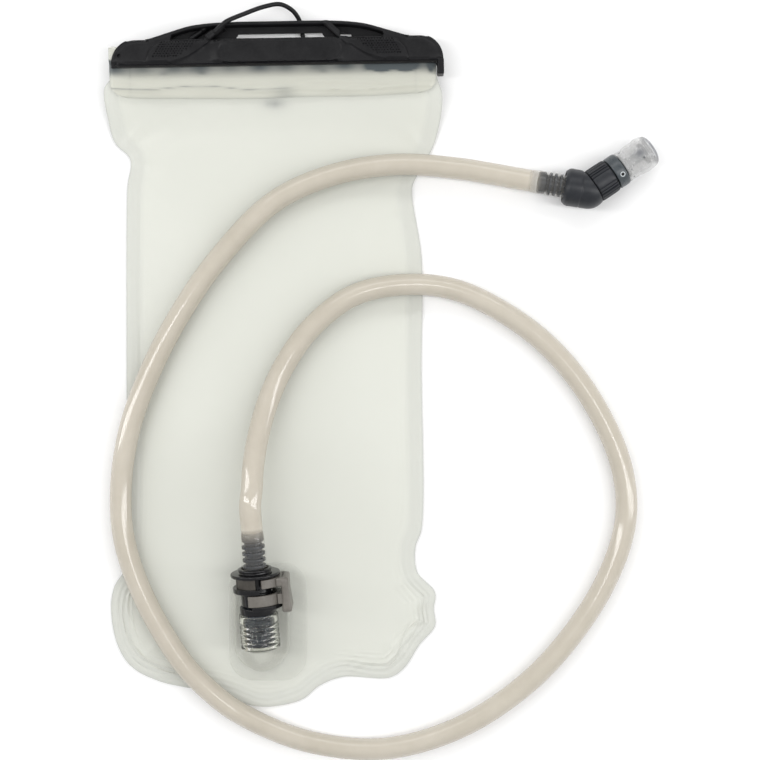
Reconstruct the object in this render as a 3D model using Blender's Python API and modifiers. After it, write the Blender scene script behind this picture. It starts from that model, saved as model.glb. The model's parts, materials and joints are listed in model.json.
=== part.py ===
"""Hydration bladder: a folded-top film reservoir with a slide-on closure, a quick-release port, a long drink
tube and a bite valve on an elbow. It lies on its back, front film up, top edge towards +Y. Metres, +Z up."""

import math

import bmesh
import bpy
import mathutils
import numpy as np

MM = 0.001

# Films of the reservoir
FILM = 0.5  # thickness of one film
FILM_GAP = 0.3  # between the two films along the welded rim
AIR = 3.5  # how far the air left inside lifts the front film
HALF_WIDTH = 65.0  # of the straight part of the body
FOLD_LIFT = 6.6  # height of the films where they enter the closure
LIFT_FROM, LIFT_TO = 95.0, 128.0
AIR_BOTTOM, AIR_TOP, AIR_RAMP = -84.0, 118.0, 55.0

# Closure: a slide-on bar over the folded mouth
CLOSURE_AT = (2.0, 136.1)
CLOSURE_TURN = math.radians(1.0)
BAR_HALF = 72.2
BAR_BACK, BAR_FRONT = 2.6, 13.6
BAR_LOW, BAR_HIGH = -5.6, 6.8
WALL = 1.6
FOLD_LEFT, FOLD_RIGHT = -73.5, 69.1

# Port and plug, measured along the port's own axis from the closed end of the sleeve
PORT_AT = (-5.1, -122.1, 11.3)
PORT_TILT = math.radians(7.0)
PORT_LEAN = math.radians(3.9)
SLEEVE_R = 8.6
SOCKET_BORE = 5.3
STEM_R = 7.0
FLANGE_R = 10.8

# Drink tube and bite valve
TUBE_R = 4.75
BARB_R = 3.9
CUFF_R = 5.7
ELBOW_AT = (137.5, 76.5, 8.6)
INLET_TURN = math.radians(-9.5)
OUTLET_TURN = math.radians(33.5)
OUTLET_DROP = math.radians(1.5)

TETHER_R = 1.0

for old in list(bpy.data.objects):
    bpy.data.objects.remove(old, do_unlink=True)

parts = bpy.data.collections.new("hydration_bladder")
cutters = bpy.data.collections.new("cutters")
bpy.context.scene.collection.children.link(parts)
bpy.context.scene.collection.children.link(cutters)


def finish(name, colour, roughness=0.5, metallic=0.0, alpha=1.0):
    """A Principled material of one colour."""
    mat = bpy.data.materials.new(name)
    mat.use_nodes = True
    shader = mat.node_tree.nodes["Principled BSDF"]
    shader.inputs["Base Color"].default_value = (*colour, 1.0)
    shader.inputs["Roughness"].default_value = roughness
    shader.inputs["Metallic"].default_value = metallic
    shader.inputs["Alpha"].default_value = alpha
    return mat


def add(obj, mat=None, frame=None, helper=False):
    """Puts an object in its collection, with its material and its parent frame."""
    if helper:
        cutters.objects.link(obj)
        obj.hide_render = True
        obj.display_type = "WIRE"
    else:
        parts.objects.link(obj)
        obj.data.materials.append(mat)
    if frame is not None:
        obj.parent = frame
    return obj


def frame_at(name, place, turn):
    """An empty that carries a group of pieces. place is in millimetres."""
    empty = bpy.data.objects.new(name, None)
    empty.location = [v * MM for v in place]
    empty.rotation_euler = turn
    parts.objects.link(empty)
    return empty


def mesh_object(name, verts, faces):
    """An object from points in millimetres, its faces turned outwards."""
    mesh = bpy.data.meshes.new(name)
    mesh.from_pydata([[c * MM for c in v] for v in verts], [], faces)
    bm = bmesh.new()
    bm.from_mesh(mesh)
    bmesh.ops.recalc_face_normals(bm, faces=bm.faces)
    bm.to_mesh(mesh)
    bm.free()
    return bpy.data.objects.new(name, mesh)


def turned(name, profile, steps=32):
    """A turned solid about Z. profile is (radius, height) down the outer side; it starts and ends on the axis,
    or closes on itself for a hollow piece."""
    hollow = min(r for r, _ in profile) > 0
    ring = list(profile)
    area = sum(a[0] * b[1] - b[0] * a[1] for a, b in zip(ring, ring[1:] + ring[:1]))
    if area > 0:
        ring.reverse()
    mesh = bpy.data.meshes.new(name)
    edges = [(i, i + 1) for i in range(len(ring) - 1)]
    if hollow:
        edges.append((len(ring) - 1, 0))
    mesh.from_pydata([(r * MM, 0, z * MM) for r, z in ring], edges, [])
    obj = bpy.data.objects.new(name, mesh)
    screw = obj.modifiers.new("turn", "SCREW")
    screw.steps = steps
    screw.render_steps = steps
    screw.use_merge_vertices = True
    screw.merge_threshold = 0.00001
    screw.use_smooth_shade = False
    return obj


def plate(name, outlines, low, high):
    """A flat plate between two heights. The first outline is its edge and the others are holes."""
    curve = bpy.data.curves.new(name, "CURVE")
    curve.dimensions = "2D"
    curve.fill_mode = "BOTH"
    curve.extrude = (high - low) / 2 * MM
    for outline in outlines:
        spline = curve.splines.new("POLY")
        spline.points.add(len(outline) - 1)
        for point, (x, y) in zip(spline.points, outline):
            point.co = (x * MM, y * MM, 0, 1)
        spline.use_cyclic_u = True
    helper = bpy.data.objects.new(name + "_curve", curve)
    bpy.context.scene.collection.objects.link(helper)
    graph = bpy.context.evaluated_depsgraph_get()
    mesh = bpy.data.meshes.new_from_object(helper.evaluated_get(graph), depsgraph=graph)
    bpy.data.objects.remove(helper)
    bm = bmesh.new()
    bm.from_mesh(mesh)
    bmesh.ops.remove_doubles(bm, verts=bm.verts, dist=0.000001)
    bmesh.ops.recalc_face_normals(bm, faces=bm.faces)
    bmesh.ops.translate(bm, verts=bm.verts, vec=(0, 0, (low + high) / 2 * MM))
    bm.to_mesh(mesh)
    bm.free()
    mesh.name = name
    mesh.materials.clear()
    return bpy.data.objects.new(name, mesh)


def block(name, low, high):
    """A box between two corners."""
    x0, y0, z0 = low
    x1, y1, z1 = high
    verts = [(x, y, z) for z in (z0, z1) for x, y in ((x0, y0), (x1, y0), (x1, y1), (x0, y1))]
    faces = [(0, 1, 2, 3), (4, 5, 6, 7), (0, 1, 5, 4), (1, 2, 6, 5), (2, 3, 7, 6), (3, 0, 4, 7)]
    return mesh_object(name, verts, faces)


def ball(name, centre, radii, segments=24):
    """An ellipsoid."""
    mesh = bpy.data.meshes.new(name)
    bm = bmesh.new()
    bmesh.ops.create_uvsphere(bm, u_segments=segments, v_segments=segments // 2, radius=1.0)
    for v in bm.verts:
        v.co = [(c + r * p) * MM for c, r, p in zip(centre, radii, v.co)]
    bm.to_mesh(mesh)
    bm.free()
    return bpy.data.objects.new(name, mesh)


def prism(name, profile, start, end):
    """A bar along X from a closed (y, z) profile."""
    n = len(profile)
    verts = [(start, y, z) for y, z in profile] + [(end, y, z) for y, z in profile]
    sides = [(i, (i + 1) % n, n + (i + 1) % n, n + i) for i in range(n)]
    return mesh_object(name, verts, [tuple(range(n)), tuple(range(n, 2 * n))] + sides)


def soften(obj, width, segments=2, angle=40):
    """Rounds the sharp edges."""
    mod = obj.modifiers.new("soften", "BEVEL")
    mod.width = width * MM
    mod.segments = segments
    mod.limit_method = "ANGLE"
    mod.angle_limit = math.radians(angle)
    mod.use_clamp_overlap = True
    return obj


def combine(obj, other, how):
    """Adds another shape to a piece, or takes it away."""
    mod = obj.modifiers.new(how.lower(), "BOOLEAN")
    mod.operation = how
    mod.solver = "EXACT"
    mod.object = other
    return obj


def smooth_line(points, spacing):
    """Points along a smooth curve through the given ones, evenly spaced."""
    p = np.array(points, float)
    p = np.vstack([2 * p[0] - p[1], p, 2 * p[-1] - p[-2]])
    fine = []
    for a, b, c, d in zip(p[:-3], p[1:-2], p[2:-1], p[3:]):
        knots = np.cumsum([0] + [np.linalg.norm(v) ** 0.5 for v in (b - a, c - b, d - c)])
        k0, k1, k2, k3 = knots
        for t in np.linspace(k1, k2, 24, endpoint=False):
            ab = ((k1 - t) * a + (t - k0) * b) / (k1 - k0)
            bc = ((k2 - t) * b + (t - k1) * c) / (k2 - k1)
            cd = ((k3 - t) * c + (t - k2) * d) / (k3 - k2)
            abc = ((k2 - t) * ab + (t - k0) * bc) / (k2 - k0)
            bcd = ((k3 - t) * bc + (t - k1) * cd) / (k3 - k1)
            fine.append(((k2 - t) * abc + (t - k1) * bcd) / (k2 - k1))
    fine.append(p[-2])
    fine = np.array(fine)
    along = np.concatenate([[0], np.cumsum(np.linalg.norm(np.diff(fine, axis=0), axis=1))])
    at = np.linspace(0, along[-1], int(round(along[-1] / spacing)) + 1)
    return np.stack([np.interp(at, along, fine[:, k]) for k in range(3)], axis=1)


def round_bar(name, points, radius, sides):
    """A bent round bar along points in millimetres, with flat ends."""
    curve = bpy.data.curves.new(name, "CURVE")
    curve.dimensions = "3D"
    curve.bevel_depth = radius * MM
    curve.bevel_resolution = sides
    curve.use_fill_caps = True
    spline = curve.splines.new("POLY")
    spline.points.add(len(points) - 1)
    for point, (x, y, z) in zip(spline.points, points):
        point.co = (x * MM, y * MM, z * MM, 1)
    return bpy.data.objects.new(name, curve)


def coil(name, radius, wire, turns, low, high):
    """A wire spring about Z."""
    steps = 12
    points = []
    for i in range(int(turns * steps) + 1):
        angle = 2 * math.pi * i / steps
        share = i / (turns * steps)
        points.append((radius * math.cos(angle), radius * math.sin(angle), low + (high - low) * share))
    return round_bar(name, points, wire / 2, 1)


def arc(cx, cy, radius, start, end, steps):
    """Points on an arc, in degrees from +X."""
    return [
        (cx + radius * math.cos(math.radians(a)), cy + radius * math.sin(math.radians(a)))
        for a in np.linspace(start, end, steps + 1)
    ]


def rounded_box(cx, cy, width, height, radius, steps=6):
    """The outline of a rectangle with round corners."""
    w, h = width / 2 - radius, height / 2 - radius
    corners = ((w, h, 0), (-w, h, 90), (-w, -h, 180), (w, -h, 270))
    return [p for x, y, a in corners for p in arc(cx + x, cy + y, radius, a, a + 90, steps)]


def ease(t):
    """0 to 1 with a soft start and end."""
    t = min(max(t, 0.0), 1.0)
    return t * t * (3 - 2 * t)


clear_film = finish("clear_film", (0.86, 0.88, 0.84), 0.35, alpha=0.6)
fold_film = finish("fold_film", (0.80, 0.79, 0.72), 0.4, alpha=0.8)
black_nylon = finish("black_nylon", (0.02, 0.02, 0.022), 0.45)
grey_nylon = finish("grey_nylon", (0.22, 0.21, 0.20), 0.4)
clear_moulding = finish("clear_moulding", (0.85, 0.87, 0.84), 0.15, alpha=0.45)
clear_silicone = finish("clear_silicone", (0.85, 0.85, 0.84), 0.3, alpha=0.6)
tube_plastic = finish("tube_plastic", (0.78, 0.74, 0.67), 0.3, alpha=0.85)
smoke_plastic = finish("smoke_plastic", (0.12, 0.14, 0.16), 0.3)
black_rubber = finish("black_rubber", (0.015, 0.015, 0.016), 0.6)
steel = finish("spring_steel", (0.6, 0.6, 0.62), 0.3, metallic=1.0)

# ---------------------------------------------------------------- films


def body_outline():
    """The reservoir's edge, anticlockwise from the top left, with its soft shoulders and curled lower corners."""
    turn = math.tan(CLOSURE_TURN)
    top = CLOSURE_AT[1] - 9.3
    top_left = (-70.8, top + (-70.8 - CLOSURE_AT[0]) * turn)
    top_right = (70.8, top + (70.8 - CLOSURE_AT[0]) * turn)
    left = [(-74.0, 121), (-72.6, 107), (-70, 98), (-63.4, 91), (-64.6, 79), (-65, 60), (-65, 0), (-65, -70)]
    corner_left = [(-66.2, -90), (-70.2, -97), (-71.8, -105), (-70.2, -119), (-66.2, -128.5), (-61, -134)]
    foot = [(-50, -139.2), (-34, -142.8), (-19, -147), (-5.5, -150.3), (12, -147.2), (20, -141), (30, -137.2)]
    corner_right = [(51, -137.4), (57.5, -133), (64, -123), (71, -114.5), (70.4, -107), (71, -100)]
    right = [(63.2, -91), (62.3, -80), (65, -72), (65, 0), (65, 48), (60.8, 78), (62.6, 83), (70.6, 98), (74, 118)]
    loose = [(x, y, 0) for x, y in left + corner_left + foot + corner_right + right]
    line = smooth_line([(*top_left, 0)] + loose + [(*top_right, 0)], 7.5)
    return [(x, y) for x, y, _ in line]


def film_height(x, y):
    """Height of the underside of the film stack, and how far the air lifts the front film there."""
    side = math.sin(min(max((58 - abs(x)) / 36, 0), 1) * math.pi / 2)
    air = AIR * side * ease((y - AIR_BOTTOM) / 60) * ease((AIR_TOP - y) / AIR_RAMP)
    lift = FOLD_LIFT * ease((y - LIFT_FROM) / (LIFT_TO - LIFT_FROM))
    return lift, air


def film(name, base, with_air, hole=None):
    """One film sheet: its outline filled with a fine net of points, then lifted and given its thickness."""
    outline = body_outline()
    inner = [] if hole is None else hole
    verts = [mathutils.Vector(p) for p in outline + inner]
    n = len(outline)
    edges = [(i, (i + 1) % n) for i in range(n)]
    edges += [(n + i, n + (i + 1) % len(inner)) for i in range(len(inner))]
    poly = mathutils.geometry
    for x in np.arange(-70, 71, 11.6):
        for y in np.arange(-145, 128, 11.0):
            place = mathutils.Vector((x, y))
            near = min((place - mathutils.Vector(p)).length for p in outline + inner)
            if near > 4.5:
                verts.append(place)
    flat, _, triangles, _, _, _ = poly.delaunay_2d_cdt(verts, edges, [], 1, 0.001)
    faces = []
    for tri in triangles:
        cx = sum(flat[i].x for i in tri) / 3
        cy = sum(flat[i].y for i in tri) / 3
        if inside(cx, cy, outline) and not (inner and inside(cx, cy, inner)):
            faces.append(tuple(tri))
    used = sorted({i for f in faces for i in f})
    index = {old: new for new, old in enumerate(used)}
    lifted = []
    for i in used:
        lift, air = film_height(flat[i].x, flat[i].y)
        lifted.append((flat[i].x, flat[i].y, base + lift + (air if with_air else 0)))
    faces = [tuple(index[i] for i in f) for f in faces]
    m = len(lifted)
    above = [(x, y, z + FILM) for x, y, z in lifted]
    border = {}
    for a, b, c in faces:
        for e in ((a, b), (b, c), (c, a)):
            border[tuple(sorted(e))] = border.get(tuple(sorted(e)), 0) + 1
    walls = [(a, b, m + b, m + a) for (a, b), count in border.items() if count == 1]
    top = [tuple(m + i for i in f) for f in faces]
    return mesh_object(name, lifted + above, faces + top + walls)


def inside(x, y, outline):
    """Whether a point lies inside an outline."""
    found = False
    for (x0, y0), (x1, y1) in zip(outline, outline[1:] + outline[:1]):
        if (y0 > y) != (y1 > y) and x < (x1 - x0) * (y - y0) / (y1 - y0) + x0:
            found = not found
    return found


water_way = arc(-5.0, -127.0, 4.5, 0, 345, 23)
add(film("back_film", 0.0, False), clear_film)
add(film("front_film", FILM + FILM_GAP, True, water_way), clear_film)

# ---------------------------------------------------------------- closure

closure = frame_at("closure_frame", (*CLOSURE_AT, 0), (0, 0, CLOSURE_TURN))

# The mouth, folded over the rail: the back leg climbs from the body, the front leg hangs down as the flap.
fold_profile = [
    (-9.0, 6.6), (-3.4, 6.6), (-2.6, 4.9), (-1.9, 4.5), (3.2, 4.5), (4.2, 5.5), (4.2, 10.7), (3.2, 11.7),
    (-1.9, 11.7), (-2.6, 11.3), (-3.4, 9.5), (-12.0, 9.4), (-17.0, 8.8), (-20.0, 8.0), (-20.0, 6.9),
    (-17.0, 7.7), (-12.0, 8.2), (-3.0, 8.3), (-1.6, 10.5), (2.6, 10.5), (3.0, 10.1), (3.0, 6.1), (2.6, 5.7),
    (-1.4, 5.7), (-2.9, 7.8), (-9.0, 7.8),
]
mouth_fold = prism("mouth_fold", fold_profile, FOLD_LEFT, FOLD_RIGHT)
flap_edge = (
    [(FOLD_LEFT - 2, -24), (FOLD_LEFT + 8, -24)]
    + arc(FOLD_LEFT + 8, -13, 8, 270, 180, 8)
    + [(FOLD_LEFT, -8), (FOLD_LEFT - 2, -8)]
)
for side, name in ((1, "left"), (-1, "right")):
    middle = (FOLD_LEFT + FOLD_RIGHT) / 2
    corner = [(middle + side * (x - middle), y) for x, y in flap_edge]
    cutter = add(plate("flap_corner_" + name, [corner], 6.05, 14.0), frame=closure, helper=True)
    combine(mouth_fold, cutter, "DIFFERENCE")
add(mouth_fold, fold_film, closure)

rail_profile = rounded_box(0.6, 8.1, 4.0, 3.8, 0.8, 3)
add(prism("closure_rail", rail_profile, -70.5, 66.5), clear_moulding, closure)

# The bar: a channel round the fold, with a narrower mouth, a stop wall at its right end and a bail handle.
channel = [
    (BAR_LOW, BAR_BACK), (BAR_HIGH, BAR_BACK), (BAR_HIGH, BAR_FRONT), (BAR_LOW + 0.9, BAR_FRONT),
    (BAR_LOW + 0.9, BAR_FRONT + 0.5), (BAR_LOW, BAR_FRONT + 0.5), (BAR_LOW, 9.9), (-3.75, 9.9),
    (-3.0, 12.0), (4.7, 12.0), (4.7, 4.2), (-3.0, 4.2), (-3.75, 6.2), (BAR_LOW, 6.2),
]
bar = prism("slider_bar", channel, -BAR_HALF, BAR_HALF)


def cap_corner(name, side):
    """What is cut off a bar end to round its top corner."""
    radius = 10.5
    cx, cy = side * (BAR_HALF - radius), BAR_HIGH - radius
    end = 0 if side > 0 else 180
    curve = arc(cx, cy, radius, 90, end, 8)
    outer = [(side * (BAR_HALF + 2), cy), (side * (BAR_HALF + 2), BAR_HIGH + 3), (cx, BAR_HIGH + 3)]
    return add(plate(name, [curve + outer], 0, 20), frame=closure, helper=True)


stop_wall = block("stop_wall", (BAR_HALF - 2.7, -10.6, 5.0), (BAR_HALF + 0.2, 5.6, BAR_FRONT - 0.35))
combine(bar, add(soften(stop_wall, 0.5), frame=closure, helper=True), "UNION")
for side, name in ((-1, "left"), (1, "right")):
    combine(bar, cap_corner("cap_corner_" + name, side), "DIFFERENCE")


def mirrored(points):
    """The points, then their mirror image in X, in reverse order."""
    return points + [(-x, y) for x, y in reversed(points)]


# Front face: a panel that swells up into the bail
panel_left = [(-58.2, -3.6), (-59.4, -1.0), (-58.8, 3.5), (-55.5, 6.6), (-47, 9.4), (-38, 11.6), (-30, 12.8)]
panel_outline = mirrored([(-56.5, -4.7)] + panel_left + [(-20, 13.1)])
window_mid = mirrored([(-20.8, 6.1), (-17.4, 8.6)])
window_side = [(-45.5, 6.8), (-38, 9.0), (-29.5, 10.0), (-25.0, 10.4), (-28.5, 6.8)]
window_right = [(-x, y) for x, y in reversed(window_side)]
face = plate("bail_face", [panel_outline, window_side, window_right], 12.85, 14.3)
add(soften(face, 0.35), frame=closure, helper=True)
name_plate = plate("name_plate", [rounded_box(0.6, 1.2, 53.5, 8.4, 4.1, 8)], 13.95, 16)
combine(face, add(name_plate, frame=closure, helper=True), "DIFFERENCE")
grip_left = [(-54.6, -1.5), (-33.5, -1.5), (-31.6, 1.4), (-34.5, 5.0), (-51.5, 5.3), (-55.2, 2.5)]
for side, name in ((1, "left"), (-1, "right")):
    grip = [(side * x, y) for x, y in grip_left]
    recess = plate("grip_recess_" + name, [grip], 14.0, 16)
    combine(face, add(recess, frame=closure, helper=True), "DIFFERENCE")
bail_left = [(-56.6, 5.2), (-55.2, 6.5), (-46.8, 9.3), (-37.8, 11.5), (-29.8, 12.7), (-19.8, 13.0)]
bail = plate("bail_beam", [mirrored(bail_left)], 6.6, 13.8)
add(soften(bail, 0.5), frame=closure, helper=True)
hand_hole = plate("bail_window", [mirrored([(-46, 6.95), (-38, 8.2), (-28, 8.45)])], 0, 13.1)
add(hand_hole, frame=closure, helper=True)
see_through = plate("bail_slot", [window_mid], 0, 20)
add(see_through, frame=closure, helper=True)
combine(bar, bail, "UNION")
combine(bar, hand_hole, "DIFFERENCE")
combine(bar, face, "UNION")
combine(bar, see_through, "DIFFERENCE")
hang_hole = turned("hang_hole", [(0, 20), (0.9, 20), (0.9, 11), (0, 11)], 16)
hang_hole.location = (-68.6 * MM, -0.6 * MM, 0)
combine(bar, add(hang_hole, frame=closure, helper=True), "DIFFERENCE")
tether_boss = turned("tether_boss", [(0, 2.6), (1.7, 2.6), (1.7, -1.5), (0, -1.5)], 16)
tether_boss.location = (-29.0 * MM, 6.9 * MM, 15.3 * MM)
tether_boss.rotation_euler = (math.radians(-90), 0, math.radians(-50))
combine(bar, add(tether_boss, frame=closure, helper=True), "UNION")
add(bar, black_nylon, closure)

# Tether from the bar to the back of the reservoir
tether_route = [
    (-26.8, 8.75, 15.5), (-24.6, 10.6, 15.6), (-21.9, 12.9, 15.6), (-13.5, 16.7, 14.2), (-5.1, 20.1, 11.6),
    (1.6, 21.5, 9.0), (6.6, 19.3, 6.4), (9.1, 16.3, 4.3), (10.1, 13.6, 2.9), (11.0, 7.5, 1.45),
    (11.2, 0.0, 1.3), (10.2, -6.5, 1.35), (6.6, -11.2, 1.6), (2.2, -13.6, 2.0), (-0.6, -14.8, 2.35),
]
add(round_bar("tether_cord", smooth_line(tether_route, 2.6), TETHER_R, 2), black_rubber, closure)

anchor_frame = frame_at("anchor_frame", (0.2, 115.4, 4.35), (math.radians(15.5), 0, 0))
anchor = soften(plate("tether_anchor", [rounded_box(0, 0, 15, 9, 3.5)], -1.0, -0.15), 0.2, 1)
anchor_lug = block("anchor_lug", (-2.6, -3.2, -3.0), (3.2, 4.0, -0.6))
add(soften(anchor_lug, 0.5), frame=anchor_frame, helper=True)
combine(anchor, anchor_lug, "UNION")
add(anchor, black_rubber, anchor_frame)

# ---------------------------------------------------------------- port

patch_outline = rounded_box(-2.6, -112.6, 34.4, 52.0, 11.0, 8)
patch = plate("port_patch", [patch_outline, water_way], 1.6, 2.1)
add(patch, clear_film)

port = frame_at("port_frame", PORT_AT, (PORT_TILT - math.radians(90), 0, PORT_LEAN))
down = math.radians(90) - PORT_TILT

thread = [(SLEEVE_R, 14.5), (SLEEVE_R, 10.6)]
for i in range(4):
    at = 9.6 - 2.2 * i
    thread += [(SLEEVE_R - 0.45, at + 0.7), (SLEEVE_R - 0.45, at), (SLEEVE_R, at - 0.3), (SLEEVE_R, at - 1.2)]
thread = thread[:-1] + [(SLEEVE_R, -0.6), (SLEEVE_R - 0.9, -1.5)]
sleeve = turned("port_sleeve", [(0, 14.5)] + thread + [(0, -1.5)], 28)
add(sleeve, frame=port, helper=True)
dome = add(ball("port_dome", (-4.7, -125.0, 2.6), (8.3, 10.0, 8.5), 18), helper=True)
floor_cut = add(block("foot_floor", (-40, -160, -20), (40, -80, 2.4)), helper=True)
port_body = plate("port_body", [rounded_box(-5.3, -112.0, 24.5, 44.0, 12.2, 10)], 2.4, 3.4)
combine(port_body, sleeve, "UNION")
combine(port_body, dome, "UNION")
combine(port_body, floor_cut, "DIFFERENCE")
bore = turned("sleeve_bore", [(0, 20), (7.25, 20), (7.25, -0.2), (6.0, -1.0), (0, -1.0)], 32)
combine(port_body, add(bore, frame=port, helper=True), "DIFFERENCE")
drain = turned("port_drain", [(0, 10), (2.6, 10), (2.6, -5), (0, -5)], 16)
drain.location = (-5.0 * MM, -127.0 * MM, 0)
combine(port_body, add(drain, helper=True), "DIFFERENCE")
cross = turned("port_passage", [(0, 1), (2.2, 1), (2.2, -7.5), (0, -7.5)], 16)
cross.rotation_euler = (math.radians(-38), 0, 0)
combine(port_body, add(cross, frame=port, helper=True), "DIFFERENCE")
add(port_body, clear_moulding)

socket_profile = [
    (7.4, 18.1), (7.7, 17.7), (7.7, 15.2), (7.4, 14.8), (6.9, 14.8), (6.9, 10.2), (6.1, 10.2), (6.1, 8.8),
    (6.9, 8.8), (6.9, 1.2), (5.6, -0.6), (2.0, -0.6), (2.0, 0.6), (4.6, 0.6), (4.6, 6.0), (2.4, 6.0),
    (2.4, 7.1), (SOCKET_BORE, 7.1), (SOCKET_BORE, 18.1),
]
add(turned("port_socket", socket_profile, 32), black_nylon, port)


def ring(name, major, minor, at, mat, frame, sides=20):
    """A round sealing ring about the frame's axis."""
    section = [
        (major + minor * math.cos(a), at + minor * math.sin(a))
        for a in np.linspace(2 * math.pi, 0, 6, endpoint=False)
    ]
    return add(turned(name, section, sides), mat, frame)


ring("socket_seal", 6.6, 0.45, 9.5, black_rubber, port)
poppet_profile = [(0, 7.0), (0.9, 7.0), (0.9, 4.7), (3.3, 4.5), (3.3, 3.7), (1.4, 3.3), (1.4, 2.0), (0, 2.0)]
add(turned("shutoff_poppet", poppet_profile, 20), smoke_plastic, port)
add(coil("poppet_spring", 2.2, 0.4, 2.5, 0.9, 3.1), steel, port)

# ---------------------------------------------------------------- plug and release


def barb(base, tip, step):
    """The outer side of a hose barb from its base to its tip: three sharp rings and a long nose."""
    length = tip - base
    share = [0.0, 0.10, 0.10, 0.24, 0.24, 0.36, 0.36, 0.50, 0.50, 0.62, 0.62, 0.92, 1.0]
    radius = [3.0, 3.0, BARB_R, 3.2, 3.0, 3.0, BARB_R, 3.2, 3.0, 3.0, BARB_R, 3.1, 2.8]
    return [(r, base + step * abs(length) * s) for r, s in zip(radius, share)]


plug_profile = (
    list(reversed(barb(34.0, 50.7, 1)))
    + [(STEM_R, 34.0), (STEM_R, 33.2), (FLANGE_R - 0.3, 33.2), (FLANGE_R, 32.9), (FLANGE_R, 31.9)]
    + [(FLANGE_R - 0.3, 31.6), (6.6, 31.6), (6.6, 24.9), (STEM_R, 24.6), (STEM_R, 18.9), (STEM_R - 0.3, 18.6)]
    + [(5.0, 18.6), (5.0, 11.8), (4.2, 11.8), (4.2, 10.2), (5.0, 10.2), (5.0, 8.2), (4.6, 7.6), (2.3, 7.6)]
    + [(2.3, 9.4), (2.3, 50.7)]
)
plug = turned("hose_plug", plug_profile, 28)
web = soften(plate("thumb_web", [arc(0, 0, 10.2, 78, 282, 18)], 24.9, 27.0), 0.3, 1)
combine(plug, add(web, frame=port, helper=True), "UNION")
waist = plate("plug_waist", [arc(0, 0, 8.2, 92, 268, 14)], 26.5, 32.0)
combine(plug, add(waist, frame=port, helper=True), "UNION")
notch = turned("thumb_notch", [(0, 10), (1.5, 10), (1.5, -10), (0, -10)], 14)
notch.location = (-9.2 * MM, 0, 29.3 * MM)
notch.rotation_euler = (math.radians(90), 0, 0)
combine(plug, add(notch, frame=port, helper=True), "DIFFERENCE")
flat = block("flange_flat", (9.0, -12, 20), (14, 12, 40))
combine(plug, add(flat, frame=port, helper=True), "DIFFERENCE")
pocket = turned("spring_pocket", [(0, 9), (1.75, 9), (1.75, 3.7), (0, 3.7)], 16)
pocket.location = (0, 0, 29.2 * MM)
pocket.rotation_euler = (0, math.radians(90), 0)
combine(plug, add(pocket, frame=port, helper=True), "DIFFERENCE")
through = turned("plug_bore", [(0, 60), (2.2, 60), (2.2, 0), (0, 0)], 24)
spider = block("nose_spider", (-2.6, -0.6, 7.7), (2.6, 0.6, 8.9))
combine(plug, add(spider, frame=port, helper=True), "UNION")
add(plug, black_nylon, port)
ring("plug_seal", 4.6, 0.38, 11.0, black_rubber, port)

spring_frame = frame_at("spring_frame", (0, 0, 29.2), (0, math.radians(90), 0))
spring_frame.parent = port
add(coil("release_spring", 1.2, 0.35, 4, 4.1, 8.3), steel, spring_frame)

release_frame = frame_at("release_frame", (0, 0, 0), (0, 0, 0))
release_frame.parent = port


def saddle(name, inner, outer, spread, low, high):
    """A C-shaped arm round the plug, open on its left side."""
    centre = 0.8
    outline = arc(centre, 0, outer, -spread, spread, 26) + arc(centre, 0, inner, spread, -spread, 26)
    return plate(name, [outline], low, high)


release = soften(saddle("release_lever", 7.9, 9.7, 116, 19.4, 24.4), 0.3, 1)
upper_arm = soften(saddle("release_upper_arm", 7.9, 10.2, 76, 27.4, 31.1), 0.3, 1)
lip = soften(saddle("release_lip", 8.5, 10.4, 100, 17.6, 19.6), 0.3, 1)
pad = soften(block("release_pad", (10.7, -7.4, 15.8), (15.3, 7.4, 32.2)), 1.6, 3)
for piece in (upper_arm, lip, pad):
    combine(release, add(piece, frame=release_frame, helper=True), "UNION")
for i, (low, high) in enumerate(((19.4, 24.4), (27.4, 31.1))):
    join = block(f"release_join_{i}", (9.2, -6.0, low + 0.15), (12.0, 6.0, high - 0.15))
    combine(release, add(join, frame=release_frame, helper=True), "UNION")
release_bore = turned("release_clearance", [(0, 40), (7.9, 40), (7.9, 0), (0, 0)], 40)
release_bore.location = (0.8 * MM, 0, 0)
combine(release, add(release_bore, frame=release_frame, helper=True), "DIFFERENCE")
add(release, grey_nylon, release_frame)

# ---------------------------------------------------------------- tube


def cuff(name, base, tip, frame):
    """The end of the tube, stretched over a barb."""
    step = 1 if tip > base else -1
    outer = [(CUFF_R, base), (CUFF_R, base + step * 9.0), (TUBE_R + 0.25, tip - step * 1.0), (TUBE_R, tip)]
    inner = [(4.2, base), (4.2, tip)]
    return add(turned(name, outer + list(reversed(inner)), 28), tube_plastic, frame)


cuff("tube_end_port", 34.3, 51.0, port)

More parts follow.
